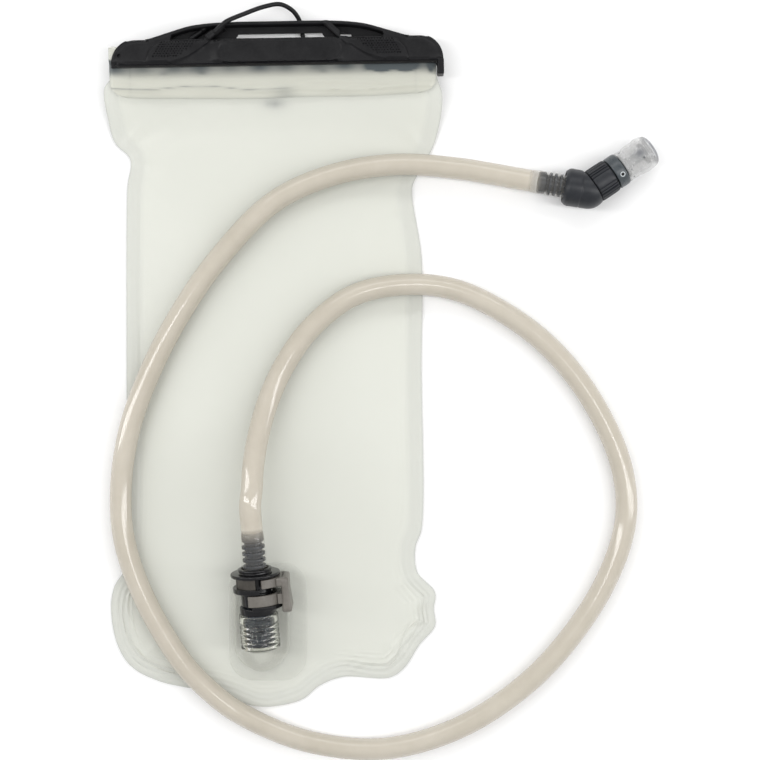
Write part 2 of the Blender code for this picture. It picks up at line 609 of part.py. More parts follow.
lean = mathutils.Matrix.Rotation(PORT_LEAN, 3, "Z") @ mathutils.Matrix.Rotation(-down, 3, "X")
port_axis = lean @ mathutils.Vector((0, 0, 1))
port_at = mathutils.Vector(PORT_AT)
inlet_axis = mathutils.Vector((math.cos(INLET_TURN), math.sin(INLET_TURN), 0))
elbow_at = mathutils.Vector(ELBOW_AT)
tube_route = (
    [tuple(port_at + port_axis * s) for s in (51.6, 62.0)]
    + [(-8.6, -54, 18.2), (-8.0, -43, 16.9), (-5.7, -29, 14.3), (-1.0, -13, 11.4), (6.2, 2, 10.1), (16.7, 16.4, 9.9)]
    + [(34.4, 30.2, 9.6), (56, 35.3, 7.8), (79, 33.4, 6.0), (103.4, 21.8, 5.2), (123.6, 5.6, 5.0)]
    + [(140.6, -16.8, 4.95), (152.6, -44.2, 4.9), (154.4, -68, 4.9), (145.5, -95, 4.9), (126.8, -123.2, 4.9)]
    + [(106.6, -143, 4.9), (80, -159.4, 4.9), (48, -168, 4.9), (14, -164.5, 4.95), (-14.8, -152.2, 5.6)]
    + [(-27, -143, 6.45), (-39.7, -129.8, 6.6), (-57, -100.5, 6.5), (-65.5, -75, 6.4), (-66.6, -52, 6.4)]
    + [(-62.7, -27.2, 6.8), (-53.5, -2.3, 7.9), (-40.4, 22.6, 9.3), (-23.4, 47, 9.95), (0.5, 71.3, 10.0)]
    + [(25.2, 82.8, 9.7), (53, 87.7, 8.9), (80, 86.2, 8.2), (98, 83.3, 8.0)]
    + [tuple(elbow_at - inlet_axis * s) for s in (30.0, 22.9)]
)
add(round_bar("drink_tube", smooth_line(tube_route, 18.5), TUBE_R, 3), tube_plastic)

# ---------------------------------------------------------------- bite valve

inlet = frame_at("inlet_frame", ELBOW_AT, (math.radians(-90), 0, INLET_TURN - math.radians(90)))
outlet = frame_at("outlet_frame", ELBOW_AT, (math.radians(-90) - OUTLET_DROP, 0, OUTLET_TURN - math.radians(90)))
cuff("tube_end_valve", -8.7, -22.5, inlet)

insert_profile = (
    [(r, -z) for r, z in reversed(barb(8.6, 22.2, 1))]
    + [(3.0, -8.4), (5.5, -8.2), (5.5, -7.0), (4.7, -7.0), (4.7, -5.8), (5.5, -5.8), (5.5, -4.6)]
    + [(2.1, -4.6), (2.1, -22.2)]
)
add(turned("elbow_insert", insert_profile, 28), smoke_plastic, inlet)
ring("elbow_seal", 5.2, 0.42, -6.4, black_rubber, inlet)

elbow_profile = [(8.1 * math.cos(a), 8.1 * math.sin(a)) for a in np.linspace(math.pi / 2, 0, 9)]
elbow_profile[0] = (0, 8.1)
elbow = turned("valve_elbow", elbow_profile + [(8.1, -9.0), (6.9, -10.7), (0, -10.7)], 32)
seam = turned("collar_clearance", [(3.9, 2.5), (14, 2.5), (14, 20), (3.9, 20)], 30)
combine(elbow, add(seam, frame=outlet, helper=True), "DIFFERENCE")
outlet_stub = turned("elbow_outlet", [(0, 11.4), (4.6, 11.4), (4.6, 0.5), (0, 0.5)], 28)
add(outlet_stub, frame=outlet, helper=True)
combine(elbow, outlet_stub, "UNION")
cup = turned("elbow_cup", [(0, -4.2), (6.05, -4.2), (6.05, -20), (0, -20)], 32)
combine(elbow, add(cup, frame=inlet, helper=True), "DIFFERENCE")
way_in = turned("elbow_way_in", [(0, 1.0), (2.4, 1.0), (2.4, -8), (0, -8)], 20)
combine(elbow, add(way_in, frame=inlet, helper=True), "DIFFERENCE")
way_out = turned("elbow_way_out", [(0, 20), (3.4, 20), (3.4, 3.6), (2.4, 3.6), (2.4, -1.0), (0, -1.0)], 20)
combine(elbow, add(way_out, frame=outlet, helper=True), "DIFFERENCE")
add(elbow, black_nylon, inlet)


def ribbed(steps):
    """The collar's outline: two smooth panels between two runs of ribs."""
    outline = []
    for i in range(steps):
        angle = 360 * i / steps
        off = abs((angle + 90) % 180 - 90)
        rib = 0.55 if off < 52 and i % 4 in (0, 1) else 0.0
        base = 7.2 if off >= 52 else 6.95
        outline.append(arc(0, 0, base + rib, angle, angle, 0)[0])
    return outline


collar = plate("shutoff_collar", [ribbed(96), arc(0, 0, 4.9, 0, 345, 23)], 2.8, 12.4)
add(collar, black_nylon, outlet)
index_profile = [(7.2, 17.5), (7.45, 17.1), (7.45, 13.1), (7.2, 12.7), (4.1, 12.7), (4.1, 17.5)]
add(turned("index_ring", index_profile, 36), smoke_plastic, outlet)
core_profile = [
    (3.6, 30.6), (5.0, 29.9), (5.0, 28.8), (2.4, 28.0), (2.4, 20.0), (5.2, 19.7), (5.2, 18.4), (3.7, 18.2),
    (3.7, 12.0), (3.1, 11.7), (3.1, 4.4), (1.7, 4.4), (1.7, 30.6),
]
add(turned("valve_core", core_profile, 24), smoke_plastic, outlet)
mouth_profile = [
    (0, 34.0), (3.2, 33.8), (5.4, 32.9), (6.8, 31.4), (7.6, 29.0), (7.65, 26.4), (7.3, 25.0), (7.2, 23.4),
    (6.7, 21.6), (6.6, 19.6), (6.9, 18.6), (6.9, 17.9), (5.6, 17.9), (5.6, 21.0), (6.1, 24.0), (6.3, 28.6),
    (5.4, 31.0), (3.6, 32.0), (0, 32.3),
]
mouth = turned("bite_mouthpiece", mouth_profile, 32)
slit = block("bite_slit", (-3.0, -0.2, 31.5), (3.0, 0.2, 36))
combine(mouth, add(slit, frame=outlet, helper=True), "DIFFERENCE")
add(mouth, clear_silicone, outlet)
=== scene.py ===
"""Looks of the hydration bladder: welded films, folded mouth, closure bar, port, drink tube and bite valve,
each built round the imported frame. Lengths named *_mm, and all bare lengths in profiles, are millimetres."""

import json
import logging
import math
from dataclasses import dataclass
from enum import Enum
from typing import Callable, Optional, Sequence

import bmesh
import bpy
import numpy as np
from mathutils import Matrix, Vector, geometry


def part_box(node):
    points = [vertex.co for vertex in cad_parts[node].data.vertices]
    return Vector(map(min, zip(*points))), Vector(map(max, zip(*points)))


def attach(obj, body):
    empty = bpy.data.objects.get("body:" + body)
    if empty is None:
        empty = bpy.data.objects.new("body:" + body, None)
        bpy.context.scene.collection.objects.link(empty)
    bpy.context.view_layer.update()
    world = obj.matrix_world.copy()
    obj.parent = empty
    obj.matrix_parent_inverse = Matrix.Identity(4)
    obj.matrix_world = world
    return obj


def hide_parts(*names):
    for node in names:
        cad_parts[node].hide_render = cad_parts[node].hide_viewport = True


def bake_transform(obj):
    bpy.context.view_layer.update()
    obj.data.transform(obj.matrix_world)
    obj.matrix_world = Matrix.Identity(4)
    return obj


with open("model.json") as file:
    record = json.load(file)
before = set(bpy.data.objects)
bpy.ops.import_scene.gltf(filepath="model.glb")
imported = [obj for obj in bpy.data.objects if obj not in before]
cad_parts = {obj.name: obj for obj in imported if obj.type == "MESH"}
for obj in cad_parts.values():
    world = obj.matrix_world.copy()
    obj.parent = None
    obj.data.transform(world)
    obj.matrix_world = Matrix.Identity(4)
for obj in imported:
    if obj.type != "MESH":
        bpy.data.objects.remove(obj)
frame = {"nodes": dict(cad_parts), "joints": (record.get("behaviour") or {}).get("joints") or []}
log = logging.getLogger("hydration_bladder")

MM = 0.001
ROUNDING_STEPS = 3
ROUNDED_ABOVE = 35.0  # degrees between two faces
Point = tuple[float, float]
Line = Sequence[Point]
Colour = tuple[float, float, float]
Made = bpy.types.Object
Finish = bpy.types.Material
Socket = bpy.types.NodeSocket


# ---------------------------------------------------------------- shared effects


class Effect(Enum):
    """The shader node groups that several finishes share."""

    GRAIN = "moulded_grain"
    CLOUD = "milky_clouding"
    SCUFF = "handling_scuffs"


@dataclass(frozen=True)
class EffectGroup:
    """One shared effect: a node group with named inputs and outputs."""

    effect: Effect

    def built(self) -> bpy.types.NodeTree:
        """The node group, made on its first use.

        Returns:
            The shader node group of this effect.
        """
        found = bpy.data.node_groups.get(self.effect.value)
        if found is not None:
            return found
        tree = bpy.data.node_groups.new(self.effect.value, "ShaderNodeTree")
        for name, value in (("Scale", 400.0), ("Amount", 0.5)):
            socket = tree.interface.new_socket(name, in_out="INPUT", socket_type="NodeSocketFloat")
            socket.default_value = value
        for name in ("Mask", "Height"):
            tree.interface.new_socket(name, in_out="OUTPUT", socket_type="NodeSocketFloat")
        self._fill(tree)
        return tree

    def _fill(self, tree: bpy.types.NodeTree) -> None:
        """Adds the nodes of the effect.

        Args:
            tree: the empty node group.
        """
        new, link = tree.nodes.new, tree.links.new
        entry, leave = new("NodeGroupInput"), new("NodeGroupOutput")
        place = new("ShaderNodeTexCoord")
        first, second = new("ShaderNodeTexNoise"), new("ShaderNodeTexNoise")
        second_scale, mixed, scaled = (new("ShaderNodeMath") for _ in range(3))
        settings = {
            Effect.GRAIN: (2.0, 0.55, 3.1, 0.35),
            Effect.CLOUD: (4.0, 0.6, 4.3, 0.4),
            Effect.SCUFF: (6.0, 0.7, 7.0, 0.5),
        }
        detail, rough, ratio, share = settings[self.effect]
        first.inputs["Detail"].default_value = detail
        first.inputs["Roughness"].default_value = rough
        second.inputs["Detail"].default_value = 2.0
        second_scale.operation = "MULTIPLY"
        second_scale.inputs[1].default_value = ratio
        mixed.operation = "MULTIPLY_ADD"
        mixed.inputs[1].default_value = share
        scaled.operation = "MULTIPLY"
        link(place.outputs["Object"], first.inputs["Vector"])
        link(place.outputs["Object"], second.inputs["Vector"])
        link(entry.outputs["Scale"], first.inputs["Scale"])
        link(entry.outputs["Scale"], second_scale.inputs[0])
        link(second_scale.outputs[0], second.inputs["Scale"])
        link(second.outputs["Fac"], mixed.inputs[0])
        link(first.outputs["Fac"], mixed.inputs[2])
        link(mixed.outputs[0], scaled.inputs[0])
        link(entry.outputs["Amount"], scaled.inputs[1])
        spread = new("ShaderNodeMapRange")
        spread.inputs["From Min"].default_value = 0.42
        spread.inputs["From Max"].default_value = 0.92
        link(mixed.outputs[0], spread.inputs["Value"])
        link(spread.outputs["Result"], leave.inputs["Mask"])
        link(scaled.outputs[0], leave.inputs["Height"])


class Surface:
    """A material being wired: one Principled shader and short calls for what feeds it."""

    def __init__(self, name: str) -> None:
        """Starts an empty material.

        Args:
            name: the material's name.
        """
        self.material = bpy.data.materials.new(name)
        self.material.use_nodes = True
        self.tree = self.material.node_tree
        self.shader = self.tree.nodes["Principled BSDF"]

    def node(self, kind: str, **inputs: float) -> bpy.types.Node:
        """A new node with plain input values.

        Args:
            kind: the node's type.
            inputs: values by input name, with _ for a space.

        Returns:
            The node.
        """
        made = self.tree.nodes.new(kind)
        for name, value in inputs.items():
            made.inputs[name.replace("_", " ")].default_value = value
        return made

    def link(self, source: Socket, target: Socket) -> None:
        """Joins two sockets."""
        self.tree.links.new(source, target)

    def effect(self, effect: Effect, scale: float, amount: float) -> bpy.types.Node:
        """Places a shared effect.

        Args:
            effect: which one.
            scale: features per metre.
            amount: its height, from 0 to 1.

        Returns:
            The group node, with outputs Mask and Height.
        """
        made = self.tree.nodes.new("ShaderNodeGroup")
        made.node_tree = EffectGroup(effect).built()
        made.inputs["Scale"].default_value = scale
        made.inputs["Amount"].default_value = amount
        return made

    def blend(self, mask: Socket, low: Sequence[float], high: Sequence[float]) -> Socket:
        """A colour that goes from low to high with a mask.

        Args:
            mask: the mask's socket.
            low: the colour where the mask is 0.
            high: the colour where the mask is 1.

        Returns:
            The colour's socket.
        """
        mix = self.tree.nodes.new("ShaderNodeMix")
        mix.data_type = "RGBA"
        mix.inputs[6].default_value = (*low, 1.0)
        mix.inputs[7].default_value = (*high, 1.0)
        self.link(mask, mix.inputs[0])
        return mix.outputs[2]

    def spread(self, mask: Socket, low: float, high: float) -> Socket:
        """A value that goes from low to high with a mask.

        Args:
            mask: the mask's socket.
            low: the value where the mask is 0.
            high: the value where the mask is 1.

        Returns:
            The value's socket.
        """
        made = self.node("ShaderNodeMapRange", To_Min=low, To_Max=high)
        self.link(mask, made.inputs["Value"])
        return made.outputs["Result"]

    def over(self, mask: Socket, under: Socket, colour: Sequence[float]) -> Socket:
        """A plain colour laid over another by a mask.

        Args:
            mask: where the colour lies.
            under: the colour beneath.
            colour: the colour laid over it.

        Returns:
            The mixed colour's socket.
        """
        mix = self.tree.nodes.new("ShaderNodeMix")
        mix.data_type = "RGBA"
        mix.inputs[7].default_value = (*colour, 1.0)
        self.link(mask, mix.inputs[0])
        self.link(under, mix.inputs[6])
        return mix.outputs[2]

    def larger(self, first: Socket, second: Socket) -> Socket:
        """The larger of two values.

        Args:
            first: one value's socket.
            second: the other's.

        Returns:
            The larger value's socket.
        """
        made = self.node("ShaderNodeMath")
        made.operation = "MAXIMUM"
        self.link(first, made.inputs[0])
        self.link(second, made.inputs[1])
        return made.outputs[0]

    def bump(self, height: Socket, strength: float, distance_mm: float) -> None:
        """Feeds the shader's normal from a height.

        Args:
            height: the height's socket.
            strength: from 0 to 1.
            distance_mm: what a height of 1 stands for.
        """
        made = self.node("ShaderNodeBump", Strength=strength, Distance=distance_mm * MM)
        self.link(height, made.inputs["Height"])
        self.link(made.outputs["Normal"], self.shader.inputs["Normal"])

    def attribute(self, name: str) -> Socket:
        """The value of a mesh attribute.

        Args:
            name: the attribute's name.

        Returns:
            The value's socket.
        """
        made = self.tree.nodes.new("ShaderNodeAttribute")
        made.attribute_name = name
        return made.outputs["Fac"]

    def steady(self, **values: float) -> None:
        """Sets plain values on the shader, by input name with _ for a space."""
        for name, value in values.items():
            self.shader.inputs[name.replace("_", " ")].default_value = value


@dataclass(frozen=True)
class MouldedFinish:
    """Injection-moulded nylon or a moulded elastomer: eroded grain, soft scuffs, a little shade drift."""

    name: str
    low: Colour
    high: Colour
    rough: tuple[float, float] = (0.34, 0.5)
    grain: float = 2600.0
    grain_mm: float = 0.02
    coat: float = 0.0
    shine: float = 0.2

    def material(self) -> Finish:
        """The finished material.

        Returns:
            The material, wired and ready to be given to a mesh.
        """
        made = Surface(self.name)
        grain = made.effect(Effect.GRAIN, self.grain, 1.0)
        scuff = made.effect(Effect.SCUFF, 160.0, 1.0)
        made.link(made.blend(scuff.outputs["Mask"], self.low, self.high), made.shader.inputs["Base Color"])
        made.link(made.spread(scuff.outputs["Mask"], *self.rough), made.shader.inputs["Roughness"])
        made.steady(Coat_Weight=self.coat, Coat_Roughness=0.18, Specular_IOR_Level=self.shine)
        made.bump(grain.outputs["Height"], 0.5, self.grain_mm)
        return made.material


@dataclass(frozen=True)
class ClearFinish:
    """A see-through moulding, film or silicone. Its cover is how much of what is behind it hides."""

    name: str
    low: Colour
    high: Colour
    cover: tuple[float, float]
    rough: tuple[float, float] = (0.08, 0.18)
    cloud: float = 60.0
    wave_mm: float = 0.1
    ior: float = 1.48

    def material(self) -> Finish:
        """The finished material.

        Returns:
            The material, wired and ready to be given to a mesh.
        """
        made = Surface(self.name)
        cloud = made.effect(Effect.CLOUD, self.cloud, 1.0)
        made.link(made.blend(cloud.outputs["Mask"], self.low, self.high), made.shader.inputs["Base Color"])
        made.link(made.spread(cloud.outputs["Mask"], *self.rough), made.shader.inputs["Roughness"])
        made.link(made.spread(cloud.outputs["Mask"], *self.cover), made.shader.inputs["Alpha"])
        made.steady(IOR=self.ior)
        made.bump(cloud.outputs["Height"], 0.3, self.wave_mm)
        return made.material


@dataclass(frozen=True)
class GlassFinish:
    """A clear moulding that bends light, a little uneven from the mould."""

    name: str
    low: Colour
    high: Colour
    rough: tuple[float, float] = (0.02, 0.07)
    wave_mm: float = 0.06

    def material(self) -> Finish:
        """The finished material.

        Returns:
            The material, wired and ready to be given to a mesh.
        """
        made = Surface(self.name)
        cloud = made.effect(Effect.CLOUD, 120.0, 1.0)
        made.link(made.blend(cloud.outputs["Mask"], self.low, self.high), made.shader.inputs["Base Color"])
        made.link(made.spread(cloud.outputs["Mask"], *self.rough), made.shader.inputs["Roughness"])
        made.steady(Transmission_Weight=1.0, IOR=1.42)
        made.bump(cloud.outputs["Height"], 0.4, self.wave_mm)
        return made.material


@dataclass(frozen=True)
class SiliconeFinish:
    """Soft clear silicone. Its shade attribute darkens it: painted shade round the tip, and the valve's
    inside showing through in the middle.
    """

    name: str
    low: Colour
    high: Colour
    dark: Colour

    def material(self) -> Finish:
        """The finished material.

        Returns:
            The material, wired and ready to be given to a mesh.
        """
        made = Surface(self.name)
        cloud = made.effect(Effect.CLOUD, 110.0, 1.0)
        shade = made.attribute("shade")
        drift = made.blend(cloud.outputs["Mask"], self.low, self.high)
        cover = made.larger(made.spread(cloud.outputs["Mask"], 0.22, 0.42), made.spread(shade, 0.2, 0.8))
        made.link(made.over(shade, drift, self.dark), made.shader.inputs["Base Color"])
        made.link(cover, made.shader.inputs["Alpha"])
        made.link(made.spread(cloud.outputs["Mask"], 0.14, 0.26), made.shader.inputs["Roughness"])
        made.steady(Coat_Weight=0.4, Coat_Roughness=0.08, IOR=1.43)
        made.bump(cloud.outputs["Height"], 0.4, 0.2)
        return made.material


@dataclass(frozen=True)
class FilmFinish:
    """Frosted welded film. The rim attribute is 1 on the weld and 0 inside it, and the shade attribute
    darkens it: on the fold this is painted shade below the closure bar and in the flap's creases."""

    name: str
    field: Colour
    weld: Colour
    dark: Colour
    cover: tuple[float, float] = (0.3, 0.42)

    def material(self) -> Finish:
        """The finished material.

        Returns:
            The material, wired and ready to be given to a mesh.
        """
        made = Surface(self.name)
        cloud = made.effect(Effect.CLOUD, 7.0, 1.0)
        frost = made.effect(Effect.GRAIN, 1500.0, 1.0)
        rim, shade = made.attribute("rim"), made.attribute("shade")
        drift = made.blend(cloud.outputs["Mask"], self.field, tuple(c * 0.98 for c in self.field))
        edge = made.over(rim, drift, self.weld)
        cover = made.larger(made.spread(rim, *self.cover), made.spread(shade, self.cover[0], 0.9))
        made.link(made.over(shade, edge, self.dark), made.shader.inputs["Base Color"])
        made.link(made.spread(frost.outputs["Mask"], 0.3, 0.42), made.shader.inputs["Roughness"])
        made.link(cover, made.shader.inputs["Alpha"])
        made.bump(frost.outputs["Height"], 0.25, 0.03)
        return made.material


@dataclass(frozen=True)
class TubeFinish:
    """Soft extruded tube: warm, slightly hazy, with faint lengthwise draw lines. The grip attribute is 1
    where it is stretched thin over a barb and clears."""

    name: str
    low: Colour
    high: Colour
    cover: tuple[float, float] = (0.75, 0.04)

    def material(self) -> Finish:
        """The finished material.

        Returns:
            The material, wired and ready to be given to a mesh.
        """
        made = Surface(self.name)
        cloud = made.effect(Effect.CLOUD, 45.0, 1.0)
        lines = made.node("ShaderNodeTexNoise", Scale=60.0, Detail=2.0)
        lines.noise_dimensions = "1D"
        made.link(made.attribute("round"), lines.inputs["W"])
        made.link(made.blend(cloud.outputs["Mask"], self.low, self.high), made.shader.inputs["Base Color"])
        made.link(made.spread(cloud.outputs["Mask"], 0.07, 0.15), made.shader.inputs["Roughness"])
        made.link(made.spread(made.attribute("grip"), *self.cover), made.shader.inputs["Alpha"])
        made.steady(Coat_Weight=0.35, Coat_Roughness=0.06, IOR=1.47)
        made.bump(lines.outputs["Fac"], 0.15, 0.05)
        return made.material


@dataclass(frozen=True)
class WireFinish:
    """Drawn spring steel with fine lines."""

    name: str
    colour: Colour = (0.58, 0.58, 0.6)

    def material(self) -> Finish:
        """The finished material.

        Returns:
            The material, wired and ready to be given to a mesh.
        """
        made = Surface(self.name)
        grain = made.effect(Effect.GRAIN, 4000.0, 1.0)
        darker = tuple(c * 0.7 for c in self.colour)
        made.link(made.blend(grain.outputs["Mask"], darker, self.colour), made.shader.inputs["Base Color"])
        made.link(made.spread(grain.outputs["Mask"], 0.22, 0.4), made.shader.inputs["Roughness"])
        made.steady(Metallic=1.0)
        made.bump(grain.outputs["Height"], 0.3, 0.01)
        return made.material


class Finishes:
    """Every material of the object, built once."""

    def __init__(self) -> None:
        """Builds them."""
        self.film = FilmFinish("frosted_film", (0.87, 0.88, 0.815), (0.81, 0.82, 0.765), (0.06, 0.075, 0.085),
                               (0.5, 0.46)).material()
        # The fold's dark colour is painted shade below the closure bar.
        self.fold = FilmFinish("folded_film", (0.76, 0.76, 0.675), (0.56, 0.57, 0.51), (0.03, 0.05, 0.065),
                               (0.5, 0.6)).material()
        self.patch = ClearFinish("welded_patch", (0.80, 0.81, 0.75), (0.76, 0.77, 0.71), (0.12, 0.2),
                                 (0.2, 0.35)).material()
        self.clear = ClearFinish("clear_moulding", (0.80, 0.81, 0.73), (0.74, 0.75, 0.67),
                                 (0.2, 0.3)).material()
        self.glass = GlassFinish("clear_sleeve", (0.96, 0.96, 0.93), (0.90, 0.91, 0.87)).material()
        # Its dark colour is painted shade at the mouthpiece's tip, and the core seen through it.
        self.silicone = SiliconeFinish("clear_silicone", (0.78, 0.78, 0.76), (0.60, 0.60, 0.60),
                                       (0.05, 0.06, 0.085)).material()
        self.nylon = MouldedFinish("black_nylon", (0.004, 0.004, 0.005), (0.010, 0.010, 0.011),
                                   (0.3, 0.44)).material()
        self.gloss = MouldedFinish("black_gloss_nylon", (0.004, 0.004, 0.005), (0.008, 0.008, 0.009),
                                   (0.14, 0.26), 1800.0, 0.008, 0.3).material()
        self.valve = MouldedFinish("valve_nylon", (0.009, 0.011, 0.014), (0.018, 0.020, 0.025), (0.3, 0.45),
                                   shine=0.38).material()
        self.paddle = MouldedFinish("grey_satin_nylon", (0.12, 0.11, 0.098), (0.17, 0.158, 0.14),
                                    (0.26, 0.38), 3200.0, 0.015, shine=0.45).material()
        # Painted highlight: the plug's waist gets a paler brown-grey than the rest of the black plug.
        self.waist = MouldedFinish("waist_nylon_painted_highlight", (0.05, 0.046, 0.04), (0.085, 0.078, 0.068),
                                   (0.28, 0.4), 3000.0, 0.015).material()
        self.smoke = MouldedFinish("smoke_moulding", (0.042, 0.05, 0.056), (0.066, 0.077, 0.084), (0.2, 0.34),
                                   1500.0, 0.01, shine=0.4).material()
        self.barb = MouldedFinish("slate_moulding", (0.006, 0.010, 0.018), (0.02, 0.028, 0.04), (0.16, 0.3),
                                  1500.0, 0.01, 0.2, 0.35).material()
        self.pale = MouldedFinish("pale_mark", (0.5, 0.54, 0.56), (0.58, 0.61, 0.62), (0.35, 0.45)).material()
        self.rubber = MouldedFinish("black_elastomer", (0.006, 0.006, 0.007), (0.013, 0.013, 0.014),
                                    (0.3, 0.44), 1900.0, 0.02).material()
        self.tube = TubeFinish("drink_tube", (0.67, 0.62, 0.53), (0.60, 0.55, 0.46)).material()
        self.steel = WireFinish("spring_wire").material()


# ---------------------------------------------------------------- shapes


def axis_frame(origin: Vector, z: Vector, side: Vector) -> Matrix:
    """A frame with its origin and Z axis given.

    Args:
        origin: its origin, in metres.
        z: its Z axis.
        side: a direction near its X axis.

    Returns:
        The matrix from the frame, in metres, to the row frame.
    """
    z = z.normalized()
    y = z.cross(side).normalized()
    x = y.cross(z)
    turn = Matrix((x, y, z)).transposed().to_4x4()
    return Matrix.Translation(origin) @ turn


def rotated(degrees: float, axis: str) -> Matrix:
    """A turn about one axis of a frame."""
    return Matrix.Rotation(math.radians(degrees), 4, axis)


def shifted(x: float, y: float, z: float) -> Matrix:
    """A move within a frame, in millimetres."""
    return Matrix.Translation(Vector((x, y, z)) * MM)


def piece(name: str, verts: Sequence[Sequence[float]], faces: Sequence[Sequence[int]], finish: Finish,
          place: Optional[Matrix] = None, sharp: float = 38.0) -> Made:
    """A mesh object from points in millimetres.

    Args:
        name: its name.
        verts: its points.
        faces: its faces.
        finish: its material.
        place: the frame it lies in.
        sharp: the angle, in degrees, above which an edge stays sharp.

    Returns:
        The object, its mesh in the row frame.
    """
    mesh = bpy.data.meshes.new(name)
    mesh.from_pydata([tuple(c * MM for c in v) for v in verts], [], faces)
    work = bmesh.new()
    work.from_mesh(mesh)
    bmesh.ops.recalc_face_normals(work, faces=work.faces)
    work.to_mesh(mesh)
    work.free()
    if place is not None:
        mesh.transform(place)
    mesh.shade_smooth()
    mesh.set_sharp_from_angle(angle=math.radians(sharp))
    mesh.materials.append(finish)
    made = bpy.data.objects.new(name, mesh)
    bpy.context.scene.collection.objects.link(made)
    return made


def attribute(made: Made, name: str, values: Sequence[float]) -> None:
    """Stores one number for each point of a mesh."""
    found = made.data.attributes.new(name, "FLOAT", "POINT")
    found.data.foreach_set("value", np.asarray(values, np.float32))


def modified(made: Made) -> Made:
    """The object with its modifiers applied to its mesh.

    Args:
        made: the object.

    Returns:
        The same object, with a plain mesh.
    """
    graph = bpy.context.evaluated_depsgraph_get()
    mesh = bpy.data.meshes.new_from_object(made.evaluated_get(graph), depsgraph=graph)
    made.modifiers.clear()
    old, made.data = made.data, mesh
    mesh.name = old.name
    bpy.data.meshes.remove(old)
    return made


def bevelled(made: Made, width_mm: float) -> Made:
    """Rounds the sharp edges of a piece.

    Args:
        made: the piece.
        width_mm: how wide the rounding is.

    Returns:
        The piece.
    """
    bevel = made.modifiers.new("edge", "BEVEL")
    bevel.width = width_mm * MM
    bevel.segments = ROUNDING_STEPS
    bevel.limit_method = "ANGLE"
    bevel.angle_limit = math.radians(ROUNDED_ABOVE)
    bevel.harden_normals = True
    return modified(made)


def filleted(points: Line, radius: float, closed: bool = False, steps: int = 3) -> list[Point]:
    """A line with its corners rounded.

    Args:
        points: the line's corners.
        radius: how far from a corner the rounding starts.
        closed: whether the line runs back to its start.
        steps: how many stretches a round corner has.

    Returns:
        The line's points.
    """
    out: list[Point] = []
    n = len(points)
    for i, here in enumerate(points):
        if not closed and i in (0, n - 1):
            out.append(here)
            continue
        p, a, b = (np.array(v, float) for v in (here, points[i - 1], points[(i + 1) % n]))
        to_a, to_b = np.linalg.norm(a - p), np.linalg.norm(b - p)
        if min(to_a, to_b) < 1e-6:
            continue
        reach = min(radius, 0.45 * to_a, 0.45 * to_b)
        start, end = p + (a - p) / to_a * reach, p + (b - p) / to_b * reach
        for t in np.linspace(0, 1, steps + 1):
            q = (1 - t) ** 2 * start + 2 * t * (1 - t) * p + t * t * end
            out.append((float(q[0]), float(q[1])))
    return out


def turned(name: str, profile: Line, finish: Finish, place: Matrix, steps: int = 64, soft: float = 0.35,
           shape: Optional[Callable[[float, float], float]] = None) -> Made:
    """A piece turned about the Z axis of its frame.

    Args:
        name: its name.
        profile: its (radius, height) line. It is closed, or starts and ends on the axis.
        finish: its material.
        place: its frame.
        steps: how many faces round it.
        soft: the rounding of its edges.
        shape: what is added to the radius at an (angle, height).

    Returns:
        The piece.
    """
    solid = min(r for r, _ in profile) < 1e-6
    line = filleted(profile, soft, not solid)
    verts: list[tuple[float, float, float]] = []
    rows: list[list[int]] = []
    for r, z in line:
        if r < 1e-6:
            rows.append([len(verts)] * steps)
            verts.append((0.0, 0.0, z))
            continue
        rows.append(list(range(len(verts), len(verts) + steps)))
        for k in range(steps):
            a = 2 * math.pi * k / steps
            wide = r + (shape(a, z) if shape else 0.0)
            verts.append((wide * math.cos(a), wide * math.sin(a), z))
    faces = []
    pairs = list(zip(rows, rows[1:])) + ([] if solid else [(rows[-1], rows[0])])
    for one, two in pairs:
        for k in range(steps):
            j = (k + 1) % steps
            corner = list(dict.fromkeys((one[k], one[j], two[j], two[k])))
            if len(corner) > 2:
                faces.append(corner)
    return piece(name, verts, faces, finish, place)


def lofted(count: int, sections: int) -> list[tuple[int, ...]]:
    """The faces of a solid that runs through equal sections, with both its ends closed.

    Args:
        count: how many points a section has.
        sections: how many sections there are.

    Returns:
        The faces.
    """
    faces = [tuple(range(count)), tuple(range((sections - 1) * count, sections * count))]
    for row in range(0, (sections - 1) * count, count):
        for k in range(count):
            j = (k + 1) % count
            faces.append((row + k, row + j, row + count + j, row + count + k))
    return faces


def slab(name: str, outline: Line, low: float, high: float, finish: Finish, place: Matrix,
         edge: float = 0.4) -> Made:
    """A flat piece with round edges.

    Args:
        name: its name.
        outline: its outline.
        low: its lower height.
        high: its upper height.
        finish: its material.
        place: its frame.
        edge: the rounding of its edges.

    Returns:
        The piece.
    """
    verts = [(x, y, z) for z in (low, high) for x, y in outline]
    return bevelled(piece(name, verts, lofted(len(outline), 2), finish, place), edge)


def hose_barb(name: str, base: float, tip: float, finish: Finish, place: Matrix) -> Made:
    """A hose barb: four sharp rings, then a long nose, as wide as the tube's bore lets it be.

    Args:
        name: its name.
        base: where it starts along the frame's axis.
        tip: where it ends.
        finish: its material.
        place: its frame.

    Returns:
        The barb.
    """
    length = tip - base
    profile: list[Point] = [(2.2, base), (3.9, base), (3.9, base + 0.06 * length)]
    for ring in range(4):
        at = base + (0.07 + 0.17 * ring) * length
        profile += [(5.0, at), (5.0, at + 0.07 * length)]
        profile += [(3.9, at + 0.1 * length), (3.9, at + 0.155 * length)]
    profile += [(4.8, base + 0.77 * length), (4.8, base + 0.96 * length), (4.4, tip), (2.2, tip)]
    return turned(name, profile, finish, place, 56, 0.15)


def arc(cx: float, cy: float, radius: float, start: float, end: float, steps: int) -> list[Point]:
    """Points on an arc, its angles in degrees from +X."""
    angles = np.radians(np.linspace(start, end, steps + 1))
    return [(cx + radius * math.cos(a), cy + radius * math.sin(a)) for a in angles]


